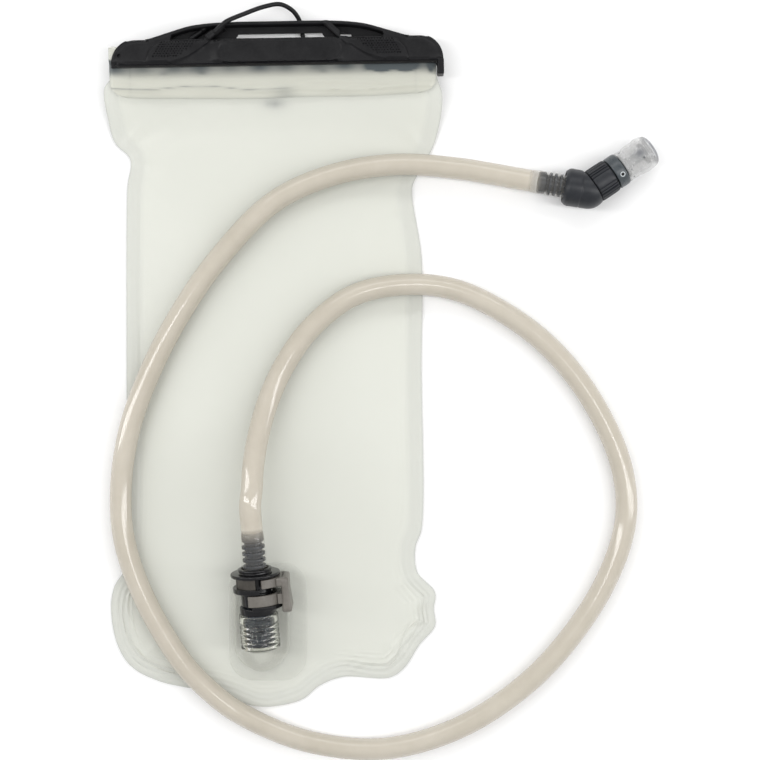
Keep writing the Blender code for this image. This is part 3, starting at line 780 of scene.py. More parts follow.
def rounded_box(cx: float, cy: float, width: float, height: float, radius: float,
                steps: int = 8) -> list[Point]:
    """The outline of a rectangle with round corners.

    Args:
        cx: its middle's first coordinate.
        cy: the second one.
        width: how wide it is.
        height: how high it is.
        radius: its corners' radius.
        steps: how many stretches a corner has.

    Returns:
        Its points, anticlockwise.
    """
    w, h = width / 2 - radius, height / 2 - radius
    corners = ((w, h, 0), (-w, h, 90), (-w, -h, 180), (w, -h, 270))
    return [p for x, y, a in corners for p in arc(cx + x, cy + y, radius, a, a + 90, steps)]


def smooth_line(points: Sequence[Sequence[float]], spacing: float) -> np.ndarray:
    """Evenly spaced points along a smooth curve.

    Args:
        points: what the curve runs through.
        spacing: the distance between the points that come out.

    Returns:
        The points, one a row.
    """
    p = np.array(points, float)
    p = np.vstack([2 * p[0] - p[1], p, 2 * p[-1] - p[-2]])
    fine = []
    for a, b, c, d in zip(p[:-3], p[1:-2], p[2:-1], p[3:]):
        k0, k1, k2, k3 = np.cumsum([0] + [np.linalg.norm(v) ** 0.5 for v in (b - a, c - b, d - c)])
        for t in np.linspace(k1, k2, 40, endpoint=False):
            ab = ((k1 - t) * a + (t - k0) * b) / (k1 - k0)
            bc = ((k2 - t) * b + (t - k1) * c) / (k2 - k1)
            cd = ((k3 - t) * c + (t - k2) * d) / (k3 - k2)
            abc = ((k2 - t) * ab + (t - k0) * bc) / (k2 - k0)
            bcd = ((k3 - t) * bc + (t - k1) * cd) / (k3 - k1)
            fine.append(((k2 - t) * abc + (t - k1) * bcd) / (k2 - k1))
    fine = np.array(fine + [p[-2]])
    along = np.concatenate([[0], np.cumsum(np.linalg.norm(np.diff(fine, axis=0), axis=1))])
    at = np.linspace(0, along[-1], int(round(along[-1] / spacing)) + 1)
    return np.stack([np.interp(at, along, fine[:, k]) for k in range(p.shape[1])], axis=1)


def swept(name: str, line: np.ndarray, outer: Sequence[float], inner: Optional[Sequence[float]], sides: int,
          finish: Finish) -> Made:
    """A round piece that follows a line.

    Args:
        name: its name.
        line: the points of its middle, in the row frame.
        outer: its radius at each point.
        inner: its bore's radius at each point, or None for a solid piece.
        sides: how many faces round it.
        finish: its material.

    Returns:
        The piece, with attribute round, which goes from 0 to 1 about it.
    """
    ahead = np.gradient(line, axis=0)
    ahead /= np.linalg.norm(ahead, axis=1)[:, None]
    side = np.cross(ahead[0], (0, 0, 1.0))
    verts: list[np.ndarray] = []
    turn: list[float] = []
    layers = [outer] if inner is None else [outer, inner]
    frames = []
    for direction in ahead:
        side = side - direction * side.dot(direction)
        side /= np.linalg.norm(side)
        frames.append((side, np.cross(direction, side)))
    for radii in layers:
        for centre, (u, v), r in zip(line, frames, radii):
            for k in range(sides):
                a = 2 * math.pi * k / sides
                verts.append(centre + r * (math.cos(a) * u + math.sin(a) * v))
                turn.append(abs(2 * k / sides - 1))
    n = len(line)
    faces = []
    for layer in range(len(layers)):
        for i in range(n - 1):
            row = (layer * n + i) * sides
            for k in range(sides):
                j = (k + 1) % sides
                quad = (row + k, row + j, row + sides + j, row + sides + k)
                faces.append(quad if layer == 0 else quad[::-1])
    if inner is None:
        faces += [tuple(range(sides)), tuple(range((n - 1) * sides, n * sides))]
    else:
        for row, other in ((0, n * sides), ((n - 1) * sides, (2 * n - 1) * sides)):
            for k in range(sides):
                j = (k + 1) % sides
                faces.append((row + k, row + j, other + j, other + k))
    made = piece(name, verts, faces, finish, sharp=50)
    attribute(made, "round", turn)
    return made


def ease(t: np.ndarray | float) -> np.ndarray:
    """0 to 1 with a soft start and end."""
    t = np.clip(t, 0.0, 1.0)
    return t * t * (3 - 2 * t)


def within(points: np.ndarray, outline: Line) -> np.ndarray:
    """Whether each point lies inside an outline.

    Args:
        points: points, one a row.
        outline: the outline.

    Returns:
        True for each point inside.
    """
    found = np.zeros(len(points), bool)
    ring = np.array(outline, float)
    x, y = points[:, 0], points[:, 1]
    for (x0, y0), (x1, y1) in zip(ring, np.roll(ring, -1, axis=0)):
        if y0 != y1:
            found ^= ((y0 > y) != (y1 > y)) & (x < (x1 - x0) * (y - y0) / (y1 - y0) + x0)
    return found


def distance(points: np.ndarray, line: Line, closed: bool = True) -> np.ndarray:
    """How far each point is from a line of straight stretches.

    Args:
        points: points, one a row.
        line: the line.
        closed: whether it runs back to its start.

    Returns:
        The distances.
    """
    ring = np.array(line, float)
    ends = np.roll(ring, -1, axis=0) if closed else ring[1:]
    best = np.full(len(points), 1e9)
    for a, b in zip(ring, ends):
        run = b - a
        t = np.clip((points - a) @ run / max(run @ run, 1e-12), 0, 1)
        best = np.minimum(best, np.linalg.norm(points - a - t[:, None] * run, axis=1))
    return best


def depth(points: np.ndarray, outline: Line) -> np.ndarray:
    """How far inside an outline each point is: negative outside it."""
    return distance(points, outline) * np.where(within(points, outline), 1, -1)


def stepped(line: Line, spacing: float, closed: bool = True) -> np.ndarray:
    """A line of straight stretches as evenly spaced points.

    Args:
        line: the line.
        spacing: about how far apart the points come out.
        closed: whether it runs back to its start.

    Returns:
        The points, one a row.
    """
    ring = np.array(list(line) + ([line[0]] if closed else []), float)
    along = np.concatenate([[0], np.cumsum(np.linalg.norm(np.diff(ring, axis=0), axis=1))])
    count = max(int(round(along[-1] / spacing)), 3)
    at = np.linspace(0, along[-1], count + 1)[: count if closed else count + 1]
    return np.stack([np.interp(at, along, ring[:, k]) for k in range(2)], axis=1)


def beside(line: np.ndarray, gap: float) -> np.ndarray:
    """A row of points moved sideways by a gap, to the left of the way the line runs.

    Args:
        line: the row of points.
        gap: how far it moves.

    Returns:
        The moved points.
    """
    run = np.roll(line, -1, axis=0) - np.roll(line, 1, axis=0)
    run /= np.maximum(np.linalg.norm(run, axis=1), 1e-9)[:, None]
    return line + gap * np.stack([-run[:, 1], run[:, 0]], axis=1)


def net(outline: Line, holes: Sequence[Line], extra: Sequence[np.ndarray], spacing: float,
        keep: float) -> tuple[np.ndarray, list[tuple[int, ...]]]:
    """A flat net of triangles that fills an outline.

    Args:
        outline: its edge.
        holes: the edges of its holes.
        extra: more points that it has to hold, such as those along a crease.
        spacing: the distance between its inner points.
        keep: how far those stay from all the others.

    Returns:
        Its points and its triangles.
    """
    rings = [np.array(r, float) for r in (outline, *holes)]
    edges, start = [], 0
    for ring in rings:
        edges += [(start + i, start + (i + 1) % len(ring)) for i in range(len(ring))]
        start += len(ring)
    fixed = np.vstack(rings + [e for e in extra if len(e)])
    low, high = rings[0].min(0), rings[0].max(0)
    rows = []
    for j, y in enumerate(np.arange(low[1], high[1], spacing * 0.866)):
        shift = spacing / 2 * (j % 2)
        rows += [(x + shift, y) for x in np.arange(low[0], high[0], spacing)]
    loose = np.array(rows)
    near = np.ones(len(loose), bool)
    for k in range(0, len(loose), 2000):
        block = loose[k : k + 2000]
        gaps = np.sqrt(((block[:, None] - fixed[None]) ** 2).sum(-1)).min(1)
        near[k : k + 2000] = gaps > keep
    both = np.vstack([fixed, loose[near]])
    flat, _, found, _, _, _ = geometry.delaunay_2d_cdt([Vector(p) for p in both], edges, [], 0, 1e-5)
    flat = np.array([tuple(p) for p in flat])
    middle = np.array([flat[list(t)].mean(0) for t in found])
    good = within(middle, outline)
    for hole in holes:
        good &= ~within(middle, hole)
    kept = [tuple(t) for t, g in zip(found, good) if g]
    used = sorted({i for t in kept for i in t})
    index = {old: new for new, old in enumerate(used)}
    return flat[used], [tuple(index[i] for i in t) for t in kept]


def sheeted(name: str, flat: np.ndarray, triangles: Sequence[tuple[int, ...]], top: np.ndarray,
            under: np.ndarray,
            finish: Finish, place: Optional[Matrix] = None) -> Made:
    """A closed piece between two heights over one net.

    Args:
        name: its name.
        flat: the net's points.
        triangles: the net's triangles.
        top: the upper height at each point.
        under: the lower height at each point.
        finish: its material.
        place: its frame.

    Returns:
        The piece. Its points are the lower ones, then the upper ones.
    """
    m = len(flat)
    verts = [(x, y, z) for (x, y), z in zip(flat, under)] + [(x, y, z) for (x, y), z in zip(flat, top)]
    border: dict[tuple[int, int], int] = {}
    for a, b, c in triangles:
        for e in ((a, b), (b, c), (c, a)):
            key = (min(e), max(e))
            border[key] = border.get(key, 0) + 1
    walls = [(a, b, m + b, m + a) for (a, b), count in border.items() if count == 1]
    faces = list(triangles) + [tuple(m + i for i in t) for t in triangles] + walls
    return piece(name, verts, faces, finish, place, sharp=50)


# ---------------------------------------------------------------- where things are


@dataclass(frozen=True)
class Axes:
    """The frames of the moving groups, read from the joints and from nodes that are round about them."""

    closure: Matrix
    port: Matrix
    inlet: Matrix
    outlet: Matrix

    @staticmethod
    def read() -> "Axes":
        """The frames of this object.

        Returns:
            The frames: closure has +X along the bar, port has +Z towards the tube, inlet and outlet have +Z
            out of the elbow's middle.
        """
        joints = {j["name"]: j for j in frame["joints"]}

        def middle(node: str) -> Vector:
            """The middle of a node's box."""
            low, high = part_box(node)
            return (low + high) / 2

        along = Vector(joints["closure_slide"]["axis"])
        closure = axis_frame(Vector(), Vector((0, 0, 1)), along)
        closure.translation = middle("closure_rail") - closure.to_3x3() @ Vector((-2.0, 0.6, 8.1)) * MM
        pull = Vector(joints["hose_pull"]["axis"])
        port = axis_frame(middle("socket_seal") - pull * 9.5 * MM, pull, Vector((1, 0, 0)))
        swivel, twist = joints["elbow_swivel"], joints["shutoff_twist"]
        at = Vector(swivel["pos_m"])
        inlet = axis_frame(at, Vector(swivel["axis"]), Vector((0, -1, 0)))
        outlet = axis_frame(at, Vector(twist["axis"]), Vector((0, -1, 0)))
        return Axes(closure, port, inlet, outlet)


# ---------------------------------------------------------------- reservoir


@dataclass
class Reservoir:
    """The two welded films, the folded mouth over its rail, and the tether's anchor."""

    finishes: Finishes
    axes: Axes
    film_mm: float = 0.4
    air_mm: float = 3.5
    fold_lift_mm: float = 6.6
    weld_mm: float = 6.0
    fold_half_mm: float = 71.3
    fold_middle_mm: float = -2.2
    fold_thick_mm: float = 0.84
    fold_edge_mm: float = 0.5
    flap_corner_mm: float = 7.0
    side_seam_mm: float = 9.0
    fold_columns: int = 241

    def build(self) -> list[Made]:
        """Builds the films and what is welded to them.

        Returns:
            The pieces, which ride on the reservoir.
        """
        made = [*self.films(), self.fold(), self.rail(), self.anchor()]
        for one in made:
            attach(one, "reservoir")
        return made

    def outline(self) -> np.ndarray:
        """The films' edge, with soft shoulders and curled lower corners, anticlockwise from the top left.

        Returns:
            The points, one a row.
        """
        left = [(-74.0, 121), (-72.6, 107), (-70, 98), (-63.4, 91), (-64.6, 79), (-65, 60), (-65, 0),
                (-65, -70)]
        corner_left = [(-66.2, -90), (-70.2, -97), (-71.8, -105), (-70.2, -119), (-66.2, -128.5), (-61, -134)]
        foot = [(-50, -139.2), (-34, -142.8), (-19, -147), (-5.5, -150.3), (12, -147.2), (20, -141),
                (30, -137.2)]
        corner_right = [(51, -137.4), (57.5, -133), (64, -123), (71, -114.5), (70.4, -107), (71, -100)]
        right = [(63.2, -91), (62.3, -80), (65, -72), (65, 0), (65, 48), (60.8, 78), (62.6, 83), (70.6, 98)]
        at, along = self.axes.closure.translation / MM, self.axes.closure.col[0]
        top = [(x, at.y - 9.3 + (x - at.x) * along.y / along.x) for x in (-70.8, 70.8)]
        return smooth_line([top[0], *left, *corner_left, *foot, *corner_right, *right, (74, 118), top[1]],
                           1.2)

    def height(self, flat: np.ndarray) -> tuple[np.ndarray, np.ndarray]:
        """Where the films run.

        Args:
            flat: points, one a row.

        Returns:
            How high the lower film is at each point, and how far air lifts the upper one off it.
        """
        x, y = flat[:, 0], flat[:, 1]
        side = np.sin(np.clip((58 - np.abs(x)) / 36, 0, 1) * math.pi / 2)
        air = self.air_mm * side * ease((y + 84.0) / 60) * ease((118.0 - y) / 55)
        return self.fold_lift_mm * ease((y - 95.0) / 33), air

    def wrinkles(self, flat: np.ndarray, edge: np.ndarray) -> np.ndarray:
        """Weld ripples along the rim, and creases at the shoulders, corners and below the fold.

        Args:
            flat: points, one a row.
            edge: how far each is from the film's edge.

        Returns:
            The height that they add.
        """
        x, y = flat[:, 0], flat[:, 1]
        low = ease((-88 - y) / 20)
        sway = 1.1 * np.sin(x / 8.5 + 1.2) + 0.8 * np.sin(x / 4.1 + y / 9)
        ripple = np.cos(2 * math.pi * (edge + sway * 0.5) / 2.3) * np.exp(-((edge - 5.5) / 4.4) ** 2)
        fine = np.cos(2 * math.pi * (edge - sway * 0.4) / 1.55) * np.exp(-((edge - 8.0) / 4.5) ** 2)
        rise = ripple * (0.03 + 0.3 * low) + 0.13 * fine * low
        rise += -0.12 * np.exp(-((edge - self.weld_mm) / 0.55) ** 2)
        creases = (
            (-62, 92, -40, 104, 1.1, 2.4), (-63, 90, -44, 86, 0.7, 2.2), (-66, 97, -50, 113, 0.6, 2.8),
            (62, 86, 42, 99, 1.0, 2.4), (61, 81, 40, 78, 0.6, 2.0), (66, 93, 54, 111, 0.6, 2.6),
            (-66, -92, -48, -101, 0.8, 2.2), (-68, -99, -47, -115, 0.55, 2.6),
            (-60, -131, -44, -116, 0.6, 2.4), (64, -93, 49, -99, 0.9, 2.2), (68, -104, 50, -112, 0.6, 2.4),
            (60, -128, 42, -118, 0.6, 2.6), (-30, -141, -22, -120, 0.5, 3.0),
            (22, -138, 27, -118, 0.6, 2.6), (4, -148, 6, -141, 0.5, 2.2), (-65, 40, -52, 33, 0.45, 2.2),
            (65, 25, 53, 18, 0.45, 2.2), (65, -40, 54, -46, 0.4, 2.4), (64, 62, 50, 66, 0.5, 2.0),
            (-64, -30, -54, -36, 0.4, 2.4),
        )
        for x0, y0, x1, y1, high, wide in creases:
            a, run = np.array((x0, y0), float), np.array((x1 - x0, y1 - y0), float)
            t = (flat - a) @ run / (run @ run)
            off = (flat - a) @ np.array((-run[1], run[0])) / np.linalg.norm(run)
            fade = np.where((t > -0.1) & (t < 1), ease((t + 0.1) / 0.25) * ease((1 - t) / 0.7), 0)
            rise += high * 0.5 * fade * np.exp(-((off / (wide * (0.6 + 0.6 * np.clip(t, 0, 1)))) ** 2))
        rise += 0.10 * np.sin(x / 17 + y / 31) * np.sin(y / 23 - x / 41 + 0.7) * ease(edge / 14)
        return rise

    def films(self) -> list[Made]:
        """The back film and the front film, with the port's water way through the front one.

        Returns:
            Both films.
        """
        outline = self.outline()
        inward = [beside(outline, gap) for gap in (0.4, 1.0, *np.arange(1.7, 13.4, 0.62))]
        inward = [row[depth(row, outline) > 0.35] for row in inward]
        made = []
        for name, node, base, hole in (
            ("back_film_sheet", "back_film", 0.0, []),
            ("front_film_sheet", "front_film", 0.8, [arc(-5, -127, 4.5, 0, 352.5, 47)]),
        ):
            flat, triangles = net(outline, hole, inward if hole else inward[::5], 3.0 if hole else 6.0, 1.0)
            lift, air = self.height(flat)
            edge = distance(flat, outline)
            under = base + lift
            if hole:
                calm = ease((np.hypot(flat[:, 0] + 3, flat[:, 1] + 113) - 30) / 14)
                tube_room = np.minimum(self.wrinkles(flat, edge), 0.75)
                under = under + air + tube_room * (0.25 + 0.75 * calm) * ease(edge / 1.5)
            top = under + self.film_mm * (1 - 0.45 * np.exp(-((edge / 0.8) ** 2)))
            film = sheeted(name, flat, triangles, top, under, self.finishes.film)
            rim = ease((self.weld_mm + 2.2 - edge) / 3.5)
            attribute(film, "rim", np.tile(np.clip(rim, 0, 1), 2))
            cut_edge = np.tile(0.3 * np.exp(-((edge / 0.5) ** 2)), 2)
            attribute(film, "shade", self.seen_dark(flat, len(hole) > 0) + cut_edge)
            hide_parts(node)
            made.append(film)
            log.info("%s: %d points", name, len(film.data.vertices))
        return made

    def seen_dark(self, flat: np.ndarray, front: bool) -> np.ndarray:
        """How much the dark anchor and cord show through a film at each of its points, lower ones first.

        Args:
            flat: the film's points.
            front: whether it is the front film.

        Returns:
            From 0 to 1 for each point.
        """
        if not front:
            return np.zeros(2 * len(flat))
        spot = np.exp(-((np.hypot((flat[:, 0] - 0.5) / 4.5, (flat[:, 1] - 115.0) / 2.2)) ** 2))
        return np.tile(0.5 * spot, 2)

    def fold(self) -> Made:
        """The mouth, rolled over its rail, with its loose front flap.

        Returns:
            The folded film.
        """
        middle = filleted([
            (-9.0, 7.25), (-3.1, 7.25), (-2.0, 5.1), (3.0, 5.1), (3.6, 5.7), (3.6, 10.5), (3.0, 11.1),
            (-1.9, 11.1), (-3.1, 8.95), (-12.0, 8.85), (-17.0, 8.3), (-20.2, 7.5),
        ], 0.8)
        line = smooth_line(middle, 0.8)
        ahead = np.gradient(line, axis=0)
        ahead /= np.linalg.norm(ahead, axis=1)[:, None]
        normal = np.stack([ahead[:, 1], -ahead[:, 0]], axis=1)
        reach = line[:, 0].min()
        front = np.arange(len(line)) > len(line) * 0.55
        columns = self.fold_columns
        verts, shade, rim = [], [], []
        for layer in (-1, 1):
            for i, (y, z) in enumerate(line):
                corner = self.flap_corner_mm if front[i] else 0.0
                to_end = y - reach
                cut = corner - math.sqrt(max(corner**2 - max(corner - to_end, 0) ** 2, 0)) if corner else 0.0
                for u in np.linspace(-1, 1, columns):
                    x = self.fold_middle_mm + u * (self.fold_half_mm - cut)
                    wave, dip = self.fold_wave(x, y) if front[i] and y < -5 else (0.0, 0.0)
                    thick = (self.fold_thick_mm if abs(u) < 0.985 and to_end > 0.7 else self.fold_edge_mm) / 2
                    verts.append((x, y + normal[i, 0] * thick * layer + dip,
                                  z + normal[i, 1] * thick * layer + wave))
                    # Painted shade on the flap below the bar and in its creases.
                    shade.append(self.fold_painted_shade(x, y) if front[i] else 0.0)
                    side = self.fold_half_mm - abs(x - self.fold_middle_mm)
                    seam = math.exp(-(((side - self.side_seam_mm) / 0.5) ** 2)) * 0.5
                    lip = 0.9 * math.exp(-((to_end / 0.7) ** 2)) if front[i] else 0.0
                    rim.append(min(1.0, seam + lip + math.exp(-((side / 0.7) ** 2))))
        n = len(line)
        faces = []
        for layer in (0, 1):
            for i in range(n - 1):
                for k in range(columns - 1):
                    a = (layer * n + i) * columns + k
                    faces.append((a, a + 1, a + columns + 1, a + columns))
        low, high = 0, n * columns
        for i in (0, n - 1):
            for k in range(columns - 1):
                a = i * columns + k
                faces.append((low + a, low + a + 1, high + a + 1, high + a))
        for k in (0, columns - 1):
            for i in range(n - 1):
                a = i * columns + k
                faces.append((low + a, low + a + columns, high + a + columns, high + a))
        made = piece("folded_mouth", verts, faces, self.finishes.fold, self.axes.closure, sharp=60)
        attribute(made, "shade", shade)
        attribute(made, "rim", rim)
        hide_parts("mouth_fold")
        log.info("folded_mouth: %d points", len(made.data.vertices))
        return made

    def bow(self, x: float) -> float:
        """Where the long crease over the flap's left half runs."""
        return -17.0 + 1.9 * math.exp(-(((x + 35) / 22) ** 2)) + 0.35 * math.sin(x / 7)

    def fold_wave(self, x: float, y: float) -> tuple[float, float]:
        """How the flap waves at a place: its rise, and the sway of its lower edge.

        Args:
            x: the place along the bar.
            y: the place across it.

        Returns:
            The rise, and the sway.
        """
        loose = float(ease((-6 - y) / 12))
        rise = 0.26 * math.sin(x / 9.5 + 0.6) + 0.18 * math.sin(x / 4.3 + y / 3)
        rise += 0.5 * math.exp(-(((y - self.bow(x)) / 0.55) ** 2))
        sag = -13.5 - 0.0014 * (x - 30) ** 2 + 0.9 * math.sin(x / 11)
        rise += 0.35 * math.exp(-(((y - sag) / 0.8) ** 2)) * float(ease((x + 5) / 20))
        edge = 0.25 * math.sin(x / 19 + 1.0) + 0.15 * math.sin(x / 8) + 1.1 + 1.7 * (x / 70) ** 2
        return rise * loose, edge * float(ease((-7 - y) / 12))

    def fold_painted_shade(self, x: float, y: float) -> float:
        """How much painted shade darkens the flap at a place: below the bar's lower edge, with blots and a
        darker patch on the right, at the bar's right end and along the long crease, and a faint dark spot low
        near the middle.

        Args:
            x: the place along the bar.
            y: the place across it.

        Returns:
            From 0, pale, to 1, dark.
        """
        # Painted shade: below the bar's edge, in blots along it, at its right end and along the crease.
        near = float(ease((y + 10.6) / 4.6)) * (0.9 + 0.25 * math.sin(x / 6.5) * math.sin(x / 2.9 + 1.0))
        patch = math.exp(-(((x - 49.5) / 11.5) ** 6)) * float(ease((y + 9.2 + 0.5 * math.sin(x / 1.7)) / 1.0))
        low = ((y + 8.2) / 0.9) ** 2
        shade_blots = sum(math.exp(-(((x - at) / 2.2) ** 2) - low) for at in (-50.0, -33.0, 20.0))
        end = 0.7 * math.exp(-(((x - 66.8) / 1.2) ** 2)) * float(ease((y + 11.5) / 3))
        line = 0.55 * math.exp(-(((y - self.bow(x) - 0.3) / 0.32) ** 2)) * float(ease((10 - x) / 14))
        tie = 0.3 * math.exp(-(((x - 3.0) / 5.0) ** 2) - ((y + 18.5) / 3.0) ** 2)
        return min(0.92, 0.78 * near + 0.7 * patch + 0.25 * shade_blots + end + line + tie)

    def rail(self) -> Made:
        """The clear stiffening rail inside the fold.

        Returns:
            The rail.
        """
        outline = filleted([(-1.4, 6.2), (2.6, 6.2), (2.6, 10.0), (-1.4, 10.0)], 0.9, True, 4)
        verts = [(x, y, z) for x in (-70.5, 66.5) for y, z in outline]
        made = piece("stiffening_rail", verts, lofted(len(outline), 2), self.finishes.clear,
                     self.axes.closure)
        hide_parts("closure_rail")
        return made

    def anchor(self) -> Made:
        """The black lug that holds the tether to the back film, on its base plate.

        Returns:
            The anchor's base plate, which the lug is parented to.
        """
        place = shifted(0.2, 115.4, 4.35) @ rotated(15.5, "X")
        base = slab("tether_anchor_base", rounded_box(0, 0, 15, 9, 3.5), -1.0, -0.15, self.finishes.rubber,
                    place, 0.25)
        lug = slab("tether_anchor_lug", rounded_box(0.3, 0.4, 5.8, 7.2, 1.6, 6), -3.0, -0.9,
                   self.finishes.rubber, place, 0.6)
        lug.parent = base
        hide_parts("tether_anchor")
        return base


# ---------------------------------------------------------------- closure bar


@dataclass
class ClosureBar:
    """The slide-on bar: a channel behind, and a sculpted front with its bail handle, name plate and grips."""

    finishes: Finishes
    axes: Axes
    half_mm: float = 72.2
    low_mm: float = -5.6
    high_mm: float = 6.8
    cap_mm: float = 10.5
    face_mm: float = 14.3
    well_mm: float = 8.2
    dot_pitch_mm: float = 1.25
    dot_row_mm: float = 1.0
    dot_half_mm: tuple[float, float] = (0.17, 0.29)
    dot_deep_mm: float = 0.4
    hollow_mm: float = 0.75
    plate_sink_mm: float = 0.38
    bail_wide_mm: float = 1.6
    bail_top_mm: float = 13.8
    brace_half_mm: float = 1.3
    brace_top_mm: float = 14.2
    facet_half_mm: float = 1.1
    facet_top_mm: float = 11.6
    facet: tuple[Point, Point] = ((-37.6, 6.9), (-30.6, 11.6))

    def build(self) -> Made:
        """Builds the bar.

        Returns:
            Its front, which the rest is parented to.
        """
        front = self.front()
        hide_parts("slider_bar")
        for part in (self.channel(), self.stop_wall(), self.boss()):
            part.parent = front
        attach(front, "closure_bar")
        log.info("closure bar: %d points", len(front.data.vertices))
        return front

    def silhouette(self) -> list[Point]:
        """The bar's outline seen from the front, with round end caps and the bail's arch.

        Returns:
            The outline, anticlockwise.
        """
        radius = self.cap_mm
        right_cap = arc(self.half_mm - radius, self.high_mm - radius, radius, 0, 84, 16)
        arch = [(56.6, 6.3), (51.0, 8.0), (46.0, 9.55), (38.0, 11.8), (30.0, 12.85), (20.0, 13.3),
                (0.0, 13.35)]
        right = [(self.half_mm - 0.6, self.low_mm + 1.5), *right_cap]
        half = [(self.half_mm - 3.4, self.low_mm), *right, *[tuple(p) for p in smooth_line(arch, 1.0)]]
        return half + [(-x, y) for x, y in reversed(half[:-1])]

    def panel(self) -> list[Point]:
        """The raised front panel between the end caps.

        Returns:
            The outline.
        """
        left = [(-57.2, -4.3), (-57.0, -1.8), (-55.6, 1.6), (-52.4, 4.4), (-47.8, 5.65)]
        curve = [tuple(p) for p in smooth_line(left, 0.8)]
        return curve + [(-x, y) for x, y in reversed(curve)]

    def front(self) -> Made:
        """The sculpted front, as one relief with its slots and hang hole through it.

        Returns:
            The front.
        """
        edge = stepped(self.silhouette(), 0.8)
        panel = stepped(self.panel(), 0.7)
        slot = self.slot_outline(-17.6, 20.0)
        side_slot = [(27.0, 6.5), (33.2, 6.5), (32.0, 8.2), (27.6, 8.3)]
        hang = arc(-68.6, -0.6, 0.85, 0, 345, 23)
        plate = stepped(self.plate(), 0.6)
        arch = np.array([p for p in edge if p[1] > 6.0 and abs(p[0]) < 56])
        extra = [beside(edge, g) for g in (0.12, 0.35, 0.75, 1.25)]
        extra += [beside(panel, g) for g in (-0.08, 0.08, 0.3, 0.7)]
        extra += [beside(plate, g) for g in (-0.3, 0.0, 0.3)]
        fine = stepped(arch, 0.35, False)
        extra += [beside(fine, g)[1:-1] for g in (1.52, 1.64)]
        for start, end in self.braces():
            run = stepped([start, end], 0.5, False)
            extra += [beside(run, g)[1:-1] for g in (-1.36, -1.22, -0.8, 0.0, 0.8, 1.22, 1.36)]
        rib = stepped(self.facet, 0.5, False)
        extra += [beside(rib, g)[1:-1] for g in (-1.16, -1.04, 0.0, 1.04, 1.16)]
        for side in (-1, 1):
            run = stepped(self.swoosh(side), 0.5, False)
            extra += [beside(run, g)[1:-1] for g in (-0.3, 0, 0.3)]
        dots = self.dots()
        for r in self.dot_half_mm:
            extra += [dots + r * np.array(corner) for corner in ((1, 1), (-1, 1), (-1, -1), (1, -1))]
        outline = [tuple(p) for p in edge]
        everything = [e[(depth(e, edge) > 0.08) & ~within(e, slot) & ~within(e, side_slot)] for e in extra]
        flat, triangles = net(outline, [slot, side_slot, hang], everything, 0.9, 0.28)
        top = self.relief(flat, edge, panel, plate, arch, dots)
        under = np.full(len(flat), 6.6)
        under = np.where(flat[:, 1] < 6.0, 12.2, under)
        return sheeted("closure_bar_front", flat, triangles, np.maximum(top, under + 0.3), under,
                       self.finishes.nylon, self.axes.closure)

    def slot_outline(self, left: float, right: float) -> list[Point]:
        """The see-through slot between the bail and the bar.

        Args:
            left: the slot's left end.
            right: its right end.

        Returns:
            The outline.
        """
        lower = [(x, 6.2) for x in np.linspace(left - 1.2, right + 1.2, 40)]
        upper = [(x, 8.95) for x in np.linspace(right - 0.6, left + 0.6, 40)]
        return lower + upper

    def plate(self) -> list[Point]:
        """The oval centre plate, left blank."""
        return rounded_box(1.2, 0.6, 53.5, 9.2, 4.5, 8)

    def braces(self) -> list[tuple[Point, Point]]:
        """The two slanting braces between the bail and the bar."""
        return [((-33.0, 3.4), (-23.8, 11.6)), ((31.0, 3.6), (21.6, 12.6))]

    def swoosh(self, side: int) -> list[Point]:
        """The curved crease between a grip and the hollow beside the centre plate."""
        points = [(-47.5, -3.4), (-43.0, -2.6), (-38.5, -1.0), (-34.5, 1.4), (-31.2, 3.8), (-29.6, 5.2)]
        return [(side * -x, y) for x, y in points]

    def dots(self) -> np.ndarray:
        """The middles of the grips' dimples.

        Returns:
            The middles, one a row.
        """
        found = []
        for side in (-1, 1):
            for row in range(7):
                left, right = -50.0 - 0.6 * row, -34.2 - 1.5 * row
                count = int((right - left) / self.dot_pitch_mm) + 1
                y = 4.9 - self.dot_row_mm * row
                found += [(side * -(left + self.dot_pitch_mm * k), y) for k in range(count)]
        return np.array(found)

    def relief(self, flat: np.ndarray, edge: np.ndarray, panel: np.ndarray, plate: np.ndarray,
               arch: np.ndarray,
               dots: np.ndarray) -> np.ndarray:
        """The front's height.

        Args:
            flat: points, one a row.
            edge: the silhouette.
            panel: the raised panel's outline.
            plate: the centre plate's outline.
            arch: the bail's outer line.
            dots: the middles of the dimples.

        Returns:
            The height at each point.
        """
        x, y = flat[:, 0], flat[:, 1]
        rim = distance(flat, edge)
        top = np.full(len(flat), self.well_mm)
        cap = (np.abs(x) > 46) & (y < 5.9 + 0.32 * np.maximum(58 - np.abs(x), 0))
        dome = 13.75 - 1.6 * ((y + 1.0) / 8) ** 2 * ease((np.abs(x) - 58) / 14)
        round_off = 2.2 * (1 - np.sqrt(np.clip(1 - (1 - np.clip(rim / 2.2, 0, 1)) ** 2, 0, 1)))
        top = np.where(cap, dome - round_off, top)
        in_panel = depth(flat, panel)
        crown = self.face_mm - 0.28 * ((y - 0.4) / 5) ** 2
        face = crown - 0.5 * (1 - np.sqrt(np.clip(1 - (1 - np.clip(in_panel / 0.5, 0, 1)) ** 2, 0, 1)))
        hollow = np.zeros(len(flat))
        for side in (-1, 1):
            line = np.array(self.swoosh(side))
            over = np.interp(-np.abs(x), -np.abs(line[:, 0]), line[:, 1])
            here = (np.sign(x) == side) & (np.abs(x) > 26) & (np.abs(x) < 47.5)
            below = ease((over - y) / 0.6)
            fade = ease((48 - np.abs(x)) / 9) * ease((np.abs(x) - 25.5) / 4)
            hollow = np.where(here, self.hollow_mm * below * fade, hollow)
        in_plate = depth(flat, plate)
        face = face - hollow - self.plate_sink_mm * ease((in_plate + 0.3) / 0.6)
